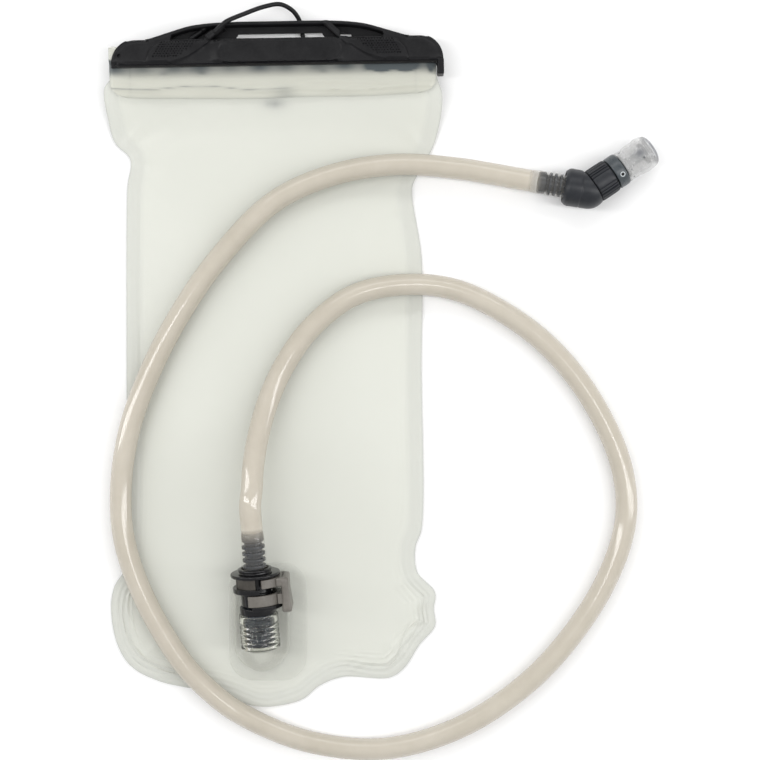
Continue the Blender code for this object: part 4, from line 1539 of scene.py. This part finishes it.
        narrow, wide = self.dot_half_mm
        for a in range(0, len(dots), 40):
            gap = np.abs(flat[:, None] - dots[None, a : a + 40]).max(-1).min(1)
            face = face - self.dot_deep_mm * np.clip((wide - gap) / (wide - narrow), 0, 1)
        top = np.where(in_panel > 0, face, top)
        lip = (y < self.low_mm + 1.15) & (np.abs(x) < 70)
        top = np.where(lip, 14.05 - 0.8 * ((y - self.low_mm - 0.62) / 0.55) ** 2, top)
        groove = np.abs(y - (self.low_mm + 1.35)) < 0.22
        top = np.where(groove & (np.abs(x) < 66), 13.2, top)
        band = distance(flat, arch, False)
        half = self.bail_wide_mm / 2
        bail = self.bail_top_mm - 0.5 * ((band - half) / half) ** 2
        top = np.where((band < self.bail_wide_mm) & (y > 5.7), np.maximum(top, bail), top)
        for start, end in self.braces():
            off = distance(flat, [start, end], False)
            brace = self.brace_top_mm - 0.55 * (off / self.brace_half_mm) ** 2
            top = np.where(off < self.brace_half_mm, np.maximum(top, brace), top)
        off = distance(flat, self.facet, False)
        facet = self.facet_top_mm - 0.9 * (off / self.facet_half_mm) ** 2
        return np.where(off < self.facet_half_mm, np.maximum(top, facet), top)

    def channel(self) -> Made:
        """The channel behind the front, which grips the fold.

        Returns:
            The channel.
        """
        low = self.low_mm + 0.15
        profile = [(low, 2.6), (6.8, 2.6), (6.8, 9.0), (6.3, 12.6), (low, 12.6), (low, 9.9), (-3.75, 9.9),
                   (-3.0, 12.0), (4.7, 12.0), (4.7, 4.2), (-3.0, 4.2), (-3.75, 6.2), (low, 6.2)]
        profile = filleted(profile, 0.45, True, 2)
        straight = self.half_mm - self.cap_mm
        bend = self.cap_mm * np.sin(np.linspace(0, math.pi / 2, 16))
        stations = np.concatenate([-straight - bend[::-1], np.linspace(-58, 58, 9), straight + bend])
        verts = []
        for x in stations:
            past = max(abs(x) - straight, 0)
            limit = self.high_mm - self.cap_mm + math.sqrt(max(self.cap_mm**2 - past**2, 0.04))
            squeeze = (limit - self.low_mm) / (self.high_mm - self.low_mm)
            verts += [(x, self.low_mm + (y - self.low_mm) * squeeze, z) for y, z in profile]
        faces = lofted(len(profile), len(stations))
        return piece("closure_bar_channel", verts, faces, self.finishes.nylon, self.axes.closure)

    def stop_wall(self) -> Made:
        """The wall and hooked leg at the bar's right end."""
        outline = [(69.5, -10.6), (72.4, -10.6), (72.4, -3.9), (69.5, -3.2)]
        return slab("closure_bar_stop", outline, 5.0, 13.25, self.finishes.nylon, self.axes.closure, 0.55)

    def boss(self) -> Made:
        """The short boss that the tether leaves.

        Returns:
            The boss.
        """
        place = self.axes.closure @ shifted(-29.0, 6.9, 15.3)
        place = place @ rotated(-50, "Z") @ rotated(-90, "X")
        return turned("tether_boss", [(0, 2.6), (1.35, 2.6), (1.6, -1.5), (0, -1.5)], self.finishes.nylon,
                      place, 32, 0.5)


@dataclass
class Tether:
    """The elastic cord that keeps the bar on the reservoir."""

    finishes: Finishes
    axes: Axes
    thick_mm: float = 2.0
    route: tuple[tuple[float, float, float], ...] = (
        (-26.8, 8.75, 15.5), (-24.6, 10.6, 15.6), (-21.9, 12.9, 15.6), (-13.5, 16.7, 14.2),
        (-5.1, 20.1, 11.6), (1.6, 21.5, 9.0), (6.6, 19.3, 6.4), (9.1, 16.3, 4.3), (10.1, 13.6, 2.9),
        (11.0, 7.5, 1.45), (11.2, 0.0, 1.3), (10.2, -6.5, 1.35), (6.6, -11.2, 1.6), (2.2, -13.6, 2.0),
        (-0.6, -14.8, 2.35),
    )

    def build(self) -> Made:
        """Builds the cord.

        Returns:
            The cord, which runs between the bar and the reservoir.
        """
        line = smooth_line(self.route, 0.8)
        line = np.array([self.axes.closure @ Vector(p * MM) for p in line]) / MM
        made = swept("tether", line, [self.thick_mm / 2] * len(line), None, 20, self.finishes.rubber)
        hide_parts("tether_cord")
        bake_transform(made)
        return made


# ---------------------------------------------------------------- port


@dataclass
class Port:
    """The clear threaded port on its welded patch, its socket, the hose plug and the release paddle."""

    finishes: Finishes
    axes: Axes
    sleeve_mm: float = 8.6
    flange_mm: float = 10.8

    def build(self) -> list[Made]:
        """Builds the port.

        Returns:
            Its pieces.
        """
        housing = [self.patch(), self.housing(), self.sleeve(), self.socket()]
        for one in housing:
            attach(one, "reservoir")
        plug = self.plug()
        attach(plug, "hose")
        paddle = self.paddle()
        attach(paddle, "release")
        log.info("port: %d pieces", len(housing) + 2)
        return [*housing, plug, paddle]

    def patch(self) -> Made:
        """The film patch welded under the port's foot.

        Returns:
            The patch.
        """
        outline = stepped(rounded_box(-2.6, -112.6, 34.4, 52.0, 11.0, 10), 1.2)
        hole = arc(-5, -127, 4.5, 0, 345, 23)
        rows = [beside(outline, gap) for gap in (0.5, 1.2, 2.0, 2.8, 3.4)]
        flat, triangles = net(outline, [hole], rows, 3.0, 0.7)
        edge = distance(flat, outline)
        bead = 0.14 * np.exp(-(((edge - 2.4) / 0.5) ** 2))
        top = 2.05 - 0.25 * np.exp(-((edge / 0.6) ** 2)) + bead
        made = sheeted("port_patch_film", flat, triangles, top, np.full(len(flat), 1.62), self.finishes.patch)
        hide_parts("port_patch")
        return made

    def housing(self) -> Made:
        """The clear oval foot with the dome that the sleeve grows out of.

        Returns:
            The foot.
        """
        outline = stepped(rounded_box(-5.3, -112.0, 24.5, 44.0, 12.2, 14), 0.9)
        rows = [beside(outline, g) for g in (0.3, 0.7, 1.2, 1.8, 2.5)]
        flat, triangles = net(outline, [], rows, 1.3, 0.45)
        edge = distance(flat, outline)
        top = 3.4 - 0.7 * (1 - np.sqrt(np.clip(1 - (1 - np.clip(edge / 0.9, 0, 1)) ** 2, 0, 1)))
        top = top - 0.3 * np.exp(-(((edge - 2.4) / 0.6) ** 2))
        x, y = flat[:, 0], flat[:, 1]
        gap = np.hypot((x + 4.9) / 8.4, (y + 125.2) / 9.6)
        dome = 2.6 + 8.0 * np.sqrt(np.clip(1 - gap**2, 0, 1))
        saddle = np.where((y > -125) & (y < -104), 2.6 + 5.2 * np.clip(1 - ((x + 5.6) / 7.6) ** 2, 0, 1), 0)
        top = np.maximum(top, np.maximum(dome, saddle))
        made = sheeted("port_foot", flat, triangles, top, np.full(len(flat), 2.4), self.finishes.clear)
        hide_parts("port_body")
        return made

    def sleeve(self) -> Made:
        """The clear threaded sleeve.

        Returns:
            The sleeve.
        """
        r = self.sleeve_mm
        outer: list[Point] = [(7.25, 14.5), (r - 0.2, 14.5), (r, 14.1), (r, 11.0)]
        for i in range(5):
            at = 10.4 - 2.2 * i
            outer += [(r - 0.75, at), (r - 0.75, at - 0.5), (r + 0.05, at - 0.95), (r + 0.05, at - 1.6)]
        outer += [(r - 1.2, -1.0), (r - 3.2, -1.7), (1.0, -1.9), (1.0, -1.2), (6.0, -1.0), (7.25, -0.2)]
        made = turned("port_sleeve", outer, self.finishes.glass, self.axes.port, 72, 0.3)
        return made

    def socket(self) -> Made:
        """The black socket, its round nose showing through the sleeve.

        Returns:
            The socket.
        """
        profile = [(5.3, 18.1), (7.3, 18.1), (7.75, 17.7), (7.75, 15.3), (7.4, 14.9), (6.9, 14.8),
                   (6.9, 13.1), (6.5, 12.9), (6.5, 12.2), (6.9, 12.0), (6.9, 10.2), (6.1, 10.2), (6.1, 8.8),
                   (6.9, 8.8), (6.9, 5.4), (6.6, 5.2), (6.6, 4.4), (6.9, 4.2), (6.9, 2.4), (6.5, 1.0),
                   (5.6, 0.0), (4.2, -0.6), (2.0, -0.7), (2.0, 0.6), (4.6, 0.6), (4.6, 6.0), (2.4, 6.0),
                   (2.4, 7.1), (5.3, 7.1)]
        made = turned("port_socket_ring", profile, self.finishes.barb, self.axes.port, 72, 0.2)
        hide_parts("port_socket")
        collar = turned("port_collar", [(7.3, 18.25), (7.95, 17.9), (7.95, 15.2), (7.3, 14.85)],
                        self.finishes.gloss, self.axes.port, 72, 0.3)
        collar.parent = made
        return made

    def plug(self) -> Made:
        """The hose plug: barb, discs, waist and nose.

        Returns:
            Its stem, which the rest is parented to.
        """
        axis, f = self.axes.port, self.flange_mm
        stem = turned("hose_plug_stem", [
            (0, 34.0), (5.4, 34.0), (7.0, 33.9), (7.0, 33.1), (f - 0.3, 33.1), (f, 32.8), (f, 31.9),
            (f - 0.3, 31.6), (6.6, 31.6), (6.6, 24.9), (7.0, 24.6), (7.0, 18.9), (6.7, 18.5), (5.0, 18.5),
            (5.0, 11.8), (4.2, 11.8), (4.2, 10.2), (5.0, 10.2), (5.0, 8.2), (4.6, 7.6), (0, 7.6),
        ], self.finishes.gloss, axis, 80, 0.25)
        web = arc(0, 0, 10.2, 78, 282, 40)
        waist = arc(0, 0, 8.2, 88, 272, 30)
        notched = [p for p in waist if not (abs(p[1]) < 1.7 and p[0] < -7)]
        split = next(i for i, p in enumerate(notched) if p[1] < 0)
        bite = arc(-8.6, 0, 1.75, 85, -85, 10)
        notched = notched[:split] + bite + notched[split:]
        parts = [
            slab("hose_plug_web", web, 24.9, 27.0, self.finishes.gloss, axis, 0.3),
            # The waist's paler finish is a painted highlight.
            slab("hose_plug_waist", notched, 26.5, 31.8, self.finishes.waist, axis, 0.25),
            turned("tube_ferrule", [(5.9, 33.9), (7.3, 33.9), (7.5, 34.3), (7.3, 34.9), (6.0, 35.1)],
                   self.finishes.gloss, axis, 64, 0.3),
            hose_barb("hose_plug_barb", 34.0, 50.7, self.finishes.barb, axis),
        ]
        for part in parts:
            part.parent = stem
        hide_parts("hose_plug")
        return stem

    def arm(self, name: str, inner: float, outer: float, spread: tuple[float, float], low: float, high: float,
            finish: Finish) -> Made:
        """A curved arm of the release.

        Args:
            name: its name.
            inner: its inner radius.
            outer: its outer radius.
            spread: the angles it runs between, in degrees.
            low: where it starts along the port.
            high: where it ends.
            finish: its material.

        Returns:
            The arm.
        """
        outline = arc(0.8, 0, outer, *spread, 44) + arc(0.8, 0, inner, *reversed(spread), 44)
        return slab(name, outline, low, high, finish, self.axes.port, 0.35)

    def paddle(self) -> Made:
        """The grey release: a curved paddle on two arms.

        Returns:
            The paddle, which its arms are parented to.
        """
        rows = []
        for s in np.linspace(15.8, 31.2, 34):
            t = (s - 15.8) / 15.4
            inner = 10.8 + 0.5 * math.sin(math.pi * t)
            outer = 14.6 + 0.7 * ease(1 - t) - 0.5 * math.sin(math.pi * t)
            end = 1.6 * (1 - math.sqrt(max(1 - max(1 - min(t, 1 - t) / 0.1, 0) ** 2, 0)))
            half = 7.2 - end
            rows.append([(x, y, s) for x, y in filleted(
                [(inner + end * 0.4, -half), (outer - end * 0.6, -half), (outer - end * 0.6, half),
                 (inner + end * 0.4, half)], 1.3, True, 5)])
        verts = [p for row in rows for p in row]
        faces = lofted(len(rows[0]), len(rows))
        paddle = piece("release_paddle", verts, faces, self.finishes.paddle, self.axes.port, sharp=60)
        parts = [
            self.arm("release_lower_arm", 7.95, 9.7, (-116, 116), 19.4, 24.3, self.finishes.paddle),
            self.arm("release_upper_arm", 7.95, 10.4, (-77, 77), 27.4, 31.2, self.finishes.paddle),
            # A black ring below the grey release: painted shadow on the lever's underside.
            self.arm("release_lip", 8.75, 10.4, (-104, 104), 17.7, 19.5, self.finishes.gloss),
            slab("release_lower_web", [(9.2, -6), (12, -6), (12, 6), (9.2, 6)], 19.6, 24.1,
                 self.finishes.paddle, self.axes.port),
            slab("release_upper_web", [(8.9, -7.0), (13, -7.0), (13, 7.0), (8.9, 7.0)], 27.4, 31.2,
                 self.finishes.paddle, self.axes.port, 0.8),
        ]
        for part in parts:
            part.parent = paddle
        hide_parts("release_lever")
        return paddle


# ---------------------------------------------------------------- drink tube


@dataclass
class DrinkTube:
    """The long soft tube, from the plug's barb to the elbow's insert."""

    finishes: Finishes
    axes: Axes
    outer_mm: float = 4.75
    bore_mm: float = 3.2
    stretched_mm: float = 5.85
    grip_mm: float = 16.7
    route: tuple[tuple[float, float, float], ...] = (
        (-8.6, -54, 18.2), (-8.0, -43, 16.9), (-5.7, -29, 14.3), (-1.0, -13, 11.4), (6.2, 2, 10.1),
        (16.7, 16.4, 9.9), (34.4, 30.2, 9.6), (56, 35.3, 7.8), (79, 33.4, 6.0), (103.4, 21.8, 5.2),
        (123.6, 5.6, 5.0), (140.6, -16.8, 4.95), (152.6, -44.2, 4.9), (154.4, -68, 4.9), (145.5, -95, 4.9),
        (126.8, -123.2, 4.9), (106.6, -143, 4.9), (80, -159.4, 4.9), (48, -168, 4.9), (14, -164.5, 4.95),
        (-14.8, -152.2, 5.6), (-27, -143, 6.45), (-39.7, -129.8, 6.6), (-57, -100.5, 6.5), (-65.5, -75, 6.4),
        (-66.6, -52, 6.4), (-62.7, -27.2, 6.8), (-53.5, -2.3, 7.9), (-40.4, 22.6, 9.3), (-23.4, 47, 9.95),
        (0.5, 71.3, 10.0), (25.2, 82.8, 9.7), (53, 87.7, 8.9), (80, 86.2, 8.2), (98, 83.3, 8.0),
    )

    def build(self, on_it: Sequence[object]) -> Made:
        """Builds the tube.

        Args:
            on_it: the pieces at its far end; not used.

        Returns:
            The tube.
        """
        start = [tuple(self.axes.port @ Vector((0, 0, s * MM)) / MM) for s in (34.4, 43.0, 51.6, 62.0)]
        end = [tuple(self.axes.inlet @ Vector((0, 0, -s * MM)) / MM) for s in (30.0, 22.9, 16.0, 8.8)]
        line = smooth_line([*start, *self.route, *end], 2.0)
        along = np.concatenate([[0], np.cumsum(np.linalg.norm(np.diff(line, axis=0), axis=1))])
        to_end = np.minimum(along, along[-1] - along)
        grip = ease((self.grip_mm - to_end) / 6.0)
        rings = 0.09 * np.cos(2 * math.pi * to_end / 2.84) * ease((12.4 - to_end) / 2.0)
        stretch = ease((self.grip_mm + 1 - to_end) / 12.5)
        outer = self.outer_mm + (self.stretched_mm - self.outer_mm) * stretch + rings
        inner = self.bore_mm + 1.95 * ease((self.grip_mm + 0.8 - to_end) / 2.0)
        made = swept("drink_tube_hose", line, outer, inner, 36, self.finishes.tube)
        clear = np.repeat(ease((self.grip_mm + 0.3 - to_end) / 1.2) * (0.75 + 0.25 * grip), 36)
        attribute(made, "grip", np.tile(clear, 2))
        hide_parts("drink_tube", "tube_end_port", "tube_end_valve")
        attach(made, "hose")
        log.info("drink tube: %.0f mm", along[-1])
        return made


# ---------------------------------------------------------------- bite valve


@dataclass
class BiteValve:
    """The swivel elbow, the twist shut-off collar, the smoky index ring and the soft mouthpiece."""

    finishes: Finishes
    axes: Axes
    knuckle_mm: float = 8.1

    def build(self) -> list[Made]:
        """Builds the valve.

        Returns:
            Its pieces.
        """
        insert = hose_barb("elbow_insert_barb", -8.6, -22.2, self.finishes.barb, self.axes.inlet)
        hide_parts("elbow_insert")
        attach(insert, "hose")
        elbow, core, ring = self.elbow(), self.core(), self.index_ring()
        for one in (elbow, core, ring):
            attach(one, "elbow")
        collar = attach(self.collar(), "twist")
        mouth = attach(self.mouthpiece(), "mouthpiece")
        log.info("bite valve: 6 pieces")
        return [insert, elbow, core, ring, collar, mouth]

    def elbow(self) -> Made:
        """The elbow: a cup with a chamfered mouth that runs into a round knuckle, cut square at the collar.

        Returns:
            The elbow, with its outlet neck parented to it.
        """
        r = self.knuckle_mm
        ball = [(r * math.cos(a), r * math.sin(a)) for a in np.radians(np.linspace(88, 0, 18))]
        profile = [(0.0, r), *ball, (r + 0.05, -2.6), (r - 0.25, -3.1), (r + 0.05, -3.6), (r + 0.15, -8.4),
                   (r - 0.15, -9.4), (6.9, -10.7), (6.1, -10.6), (6.0, -4.2), (0.0, -4.2)]
        elbow = turned("valve_elbow_knuckle", profile, self.finishes.valve, self.axes.inlet, 80, 0.3)
        out = self.axes.outlet
        work = bmesh.new()
        work.from_mesh(elbow.data)
        cut = bmesh.ops.bisect_plane(work, geom=[*work.verts, *work.edges, *work.faces], dist=1e-7,
                                     plane_co=out @ Vector((0, 0, 2.5 * MM)),
                                     plane_no=out.to_3x3() @ Vector((0, 0, 1)), clear_outer=True)
        rim = [e for e in cut["geom_cut"] if isinstance(e, bmesh.types.BMEdge)]
        bmesh.ops.contextual_create(work, geom=rim)
        work.to_mesh(elbow.data)
        work.free()
        elbow.data.set_sharp_from_angle(angle=math.radians(38))
        neck = turned("valve_elbow_neck", [(2.4, 11.4), (4.6, 11.4), (4.6, 1.0), (2.4, 1.0)],
                      self.finishes.valve, out, 48, 0.3)
        neck.parent = elbow
        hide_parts("valve_elbow")
        return elbow

    def rib(self, angle: float, z: float) -> float:
        """What the collar's ribs add to its radius: none on the two smooth panels.

        Args:
            angle: the angle round the collar, in radians.
            z: the height along it.

        Returns:
            What is added to the radius.
        """
        off = abs((math.degrees(angle) + 90) % 180 - 90)
        if off >= 68 or not 3.1 < z < 12.1:
            return 0.0
        wave = 0.5 + 0.5 * math.cos(angle * 28)
        return 0.75 * float(ease(wave * 1.6 - 0.3)) * float(ease((68 - off) / 5)) - 0.3

    def collar(self) -> Made:
        """The ribbed twist collar.

        Returns:
            The collar.
        """
        profile = [(4.9, 2.8), (6.7, 2.8), (7.15, 3.3), (7.2, 5.0), (7.2, 7.5), (7.15, 10.5), (7.0, 11.8),
                   (6.7, 12.4), (4.9, 12.4)]
        made = turned("shutoff_collar_ribbed", profile, self.finishes.valve, self.axes.outlet, 260, 0.25,
                      self.rib)
        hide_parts("shutoff_collar")
        return made

    def index_ring(self) -> Made:
        """The smoky ring with its small open-position mark.

        Returns:
            The ring, with the mark parented to it.
        """
        profile = [(4.1, 12.7), (7.1, 12.7), (7.4, 13.1), (7.45, 16.6), (7.25, 17.4), (6.9, 17.5),
                   (4.1, 17.5)]
        ring = turned("index_ring_smoky", profile, self.finishes.smoke, self.axes.outlet, 80, 0.25)
        turn = rotated(-70, "Z") @ shifted(7.42, 0, 15.3)
        place = self.axes.outlet @ turn @ rotated(90, "Y")
        mark = turned("index_mark", [(0.75, -0.25), (1.15, -0.25), (1.15, 0.12), (0.75, 0.12)],
                      self.finishes.pale, place, 36, 0.08)
        dot = turned("index_dot", [(0, 0.1), (0.7, 0.1), (0.7, -0.25), (0, -0.25)], self.finishes.rubber,
                     place, 28, 0.05)
        for one in (mark, dot):
            one.parent = ring
        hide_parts("index_ring")
        return ring

    def core(self) -> Made:
        """The valve's core, which shows as a dark shape through the mouthpiece.

        Returns:
            The core.
        """
        profile = [(1.7, 30.6), (3.4, 30.6), (5.0, 29.9), (5.0, 28.8), (2.4, 28.0), (2.4, 20.0), (5.2, 19.7),
                   (5.2, 18.4), (3.7, 18.2), (3.7, 12.0), (3.1, 11.7), (3.1, 4.4), (1.7, 4.4)]
        made = turned("valve_core_spindle", profile, self.finishes.smoke, self.axes.outlet, 48, 0.25)
        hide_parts("valve_core")
        return made

    def mouthpiece(self) -> Made:
        """The soft clear mouthpiece with its bite flare.

        Returns:
            The mouthpiece, with its vents parented to it.
        """
        profile = [(0, 33.9), (3.2, 33.8), (5.4, 33.4), (6.6, 32.6), (7.2, 31.2), (7.5, 29.0), (7.5, 27.0),
                   (7.25, 25.6), (7.4, 24.6), (7.3, 23.6), (7.0, 22.4), (7.15, 21.6), (6.8, 20.8),
                   (7.0, 20.2), (6.8, 19.5), (7.1, 19.0), (7.1, 18.0), (5.6, 17.9), (5.6, 21.0),
                   (6.1, 24.0), (6.3, 28.6), (5.6, 31.0), (4.6, 32.2), (0, 32.5)]

        def flatten(angle: float, z: float) -> float:
            """What lumps and the bite's flattening add to the radius."""
            lumps = 0.14 * math.sin(5 * angle + z) * float(ease((z - 19) / 2)) * float(ease((31 - z) / 3))
            return lumps + 0.2 * math.cos(2 * angle) * float(ease((z - 22) / 6)) * float(ease((33.5 - z) / 3))

        mouth = turned("bite_mouthpiece_silicone", profile, self.finishes.silicone, self.axes.outlet, 72,
                       0.5, flatten)
        for i, (angle, z) in enumerate(((-112, 19.9), (-62, 19.9), (-20, 19.9), (-160, 19.9), (-78, 27.0))):
            turn = rotated(angle, "Z")
            r = 6.62 if z < 22 else 7.58
            place = self.axes.outlet @ turn @ shifted(r, 0, z)
            place = place @ rotated(90, "Y")
            vent = turned(f"mouthpiece_vent_{i}", [(0, 0.06), (0.42, 0.06), (0.42, -0.3), (0, -0.3)],
                          self.finishes.smoke, place, 20, 0.1)
            vent.parent = mouth
        back = self.axes.outlet.inverted()
        local = np.array([back @ v.co for v in mouth.data.vertices]) / MM
        # Painted shade on a band round the tip's rounded face; the blot is the core showing through.
        tip = np.exp(-(((local[:, 2] - 33.0) / 1.25) ** 2)) * (np.hypot(local[:, 0], local[:, 1]) > 4.0)
        blot = 0.75 * np.exp(-(((local[:, 2] - 26.5) / 2.6) ** 2) - ((local[:, 0] + 1.0) / 2.6) ** 2)
        attribute(mouth, "shade", np.clip(0.95 * tip + blot, 0, 1))
        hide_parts("bite_mouthpiece")
        return mouth


# ---------------------------------------------------------------- what stays from the frame, and the studio


@dataclass
class HiddenParts:
    """The small inner parts that keep their own mesh and get a finish."""

    finishes: Finishes

    def dress(self) -> None:
        """Gives each inner part its material."""
        rubber, steel, smoke = self.finishes.rubber, self.finishes.steel, self.finishes.smoke
        wanted = {"socket_seal": rubber, "plug_seal": rubber, "elbow_seal": rubber, "poppet_spring": steel,
                  "release_spring": steel, "shutoff_poppet": smoke}
        for name, finish in wanted.items():
            node = frame["nodes"][name]
            node.data.materials.clear()
            node.data.materials.append(finish)
            log.info("dressed %s", name)


@dataclass
class Studio:
    """A pale floor, soft light and the camera straight above the object."""

    middle: tuple[float, float] = (0.0467, -0.0063)
    height: float = 0.8
    across: float = 0.332
    focus: float = 0.008
    floor_mm: float = 4000.0
    floor_drop: float = 0.0002

    def build(self) -> None:
        """Builds the studio."""
        self.floor()
        self.lights()
        self.camera()

    def floor(self) -> None:
        """The floor, a wide pale disc."""
        made = Surface("studio_floor")
        cloud = made.effect(Effect.CLOUD, 3.0, 1.0)
        made.link(made.blend(cloud.outputs["Mask"], (0.93, 0.93, 0.93), (0.945, 0.945, 0.945)),
                  made.shader.inputs["Base Color"])
        made.steady(Roughness=0.85, Specular_IOR_Level=0.1)
        ring = [(x, y, 0.0) for x, y in arc(0, 0, self.floor_mm, 0, 360, 64)[:-1]]
        disc = piece("studio_floor", ring, [tuple(range(64))], made.material)
        disc.location.z = -self.floor_drop

    def lights(self) -> None:
        """Two long soft lights beside the camera, one above the top edge, and an even white surround."""
        for name, place, size, power in (
            ("soft_right", (0.95, -0.1, 1.05), (0.22, 1.8), 9.0),
            ("soft_left", (-0.85, 0.1, 0.95), (0.16, 1.6), 7.0),
            ("soft_top", (0.05, 1.05, 1.0), (1.6, 0.3), 5.0),
        ):
            light = bpy.data.lights.new(name, "AREA")
            light.shape = "RECTANGLE"
            light.size, light.size_y = size
            light.energy = power
            made = bpy.data.objects.new(name, light)
            made.location = place
            aim = Vector((*self.middle, 0)) - Vector(place)
            made.rotation_euler = aim.to_track_quat("-Z", "Y").to_euler()
            bpy.context.scene.collection.objects.link(made)
        world = bpy.data.worlds.new("studio_surround")
        world.use_nodes = True
        world.node_tree.nodes["Background"].inputs["Color"].default_value = (1.0, 1.0, 1.0, 1.0)
        world.node_tree.nodes["Background"].inputs["Strength"].default_value = 0.6
        bpy.context.scene.world = world
        bpy.context.scene.view_settings.view_transform = "Standard"

    def camera(self) -> None:
        """The camera, straight above, with a long lens."""
        data = bpy.data.cameras.new("studio_camera")
        data.lens = data.sensor_width * (self.height - self.focus) / self.across
        made = bpy.data.objects.new("studio_camera", data)
        made.location = (*self.middle, self.height)
        bpy.context.scene.collection.objects.link(made)
        bpy.context.scene.camera = made


def main() -> None:
    """Builds the object and the studio."""
    logging.basicConfig(level=logging.INFO, format="%(message)s")
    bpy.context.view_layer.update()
    Studio().build()
    finishes, axes = Finishes(), Axes.read()
    Tether(finishes, axes).build()
    valve = BiteValve(finishes, axes).build()
    DrinkTube(finishes, axes).build([*valve, frame["nodes"]["elbow_seal"]])
    Reservoir(finishes, axes).build()
    ClosureBar(finishes, axes).build()
    Port(finishes, axes).build()
    HiddenParts(finishes).dress()


if __name__ == "__main__":
    main()
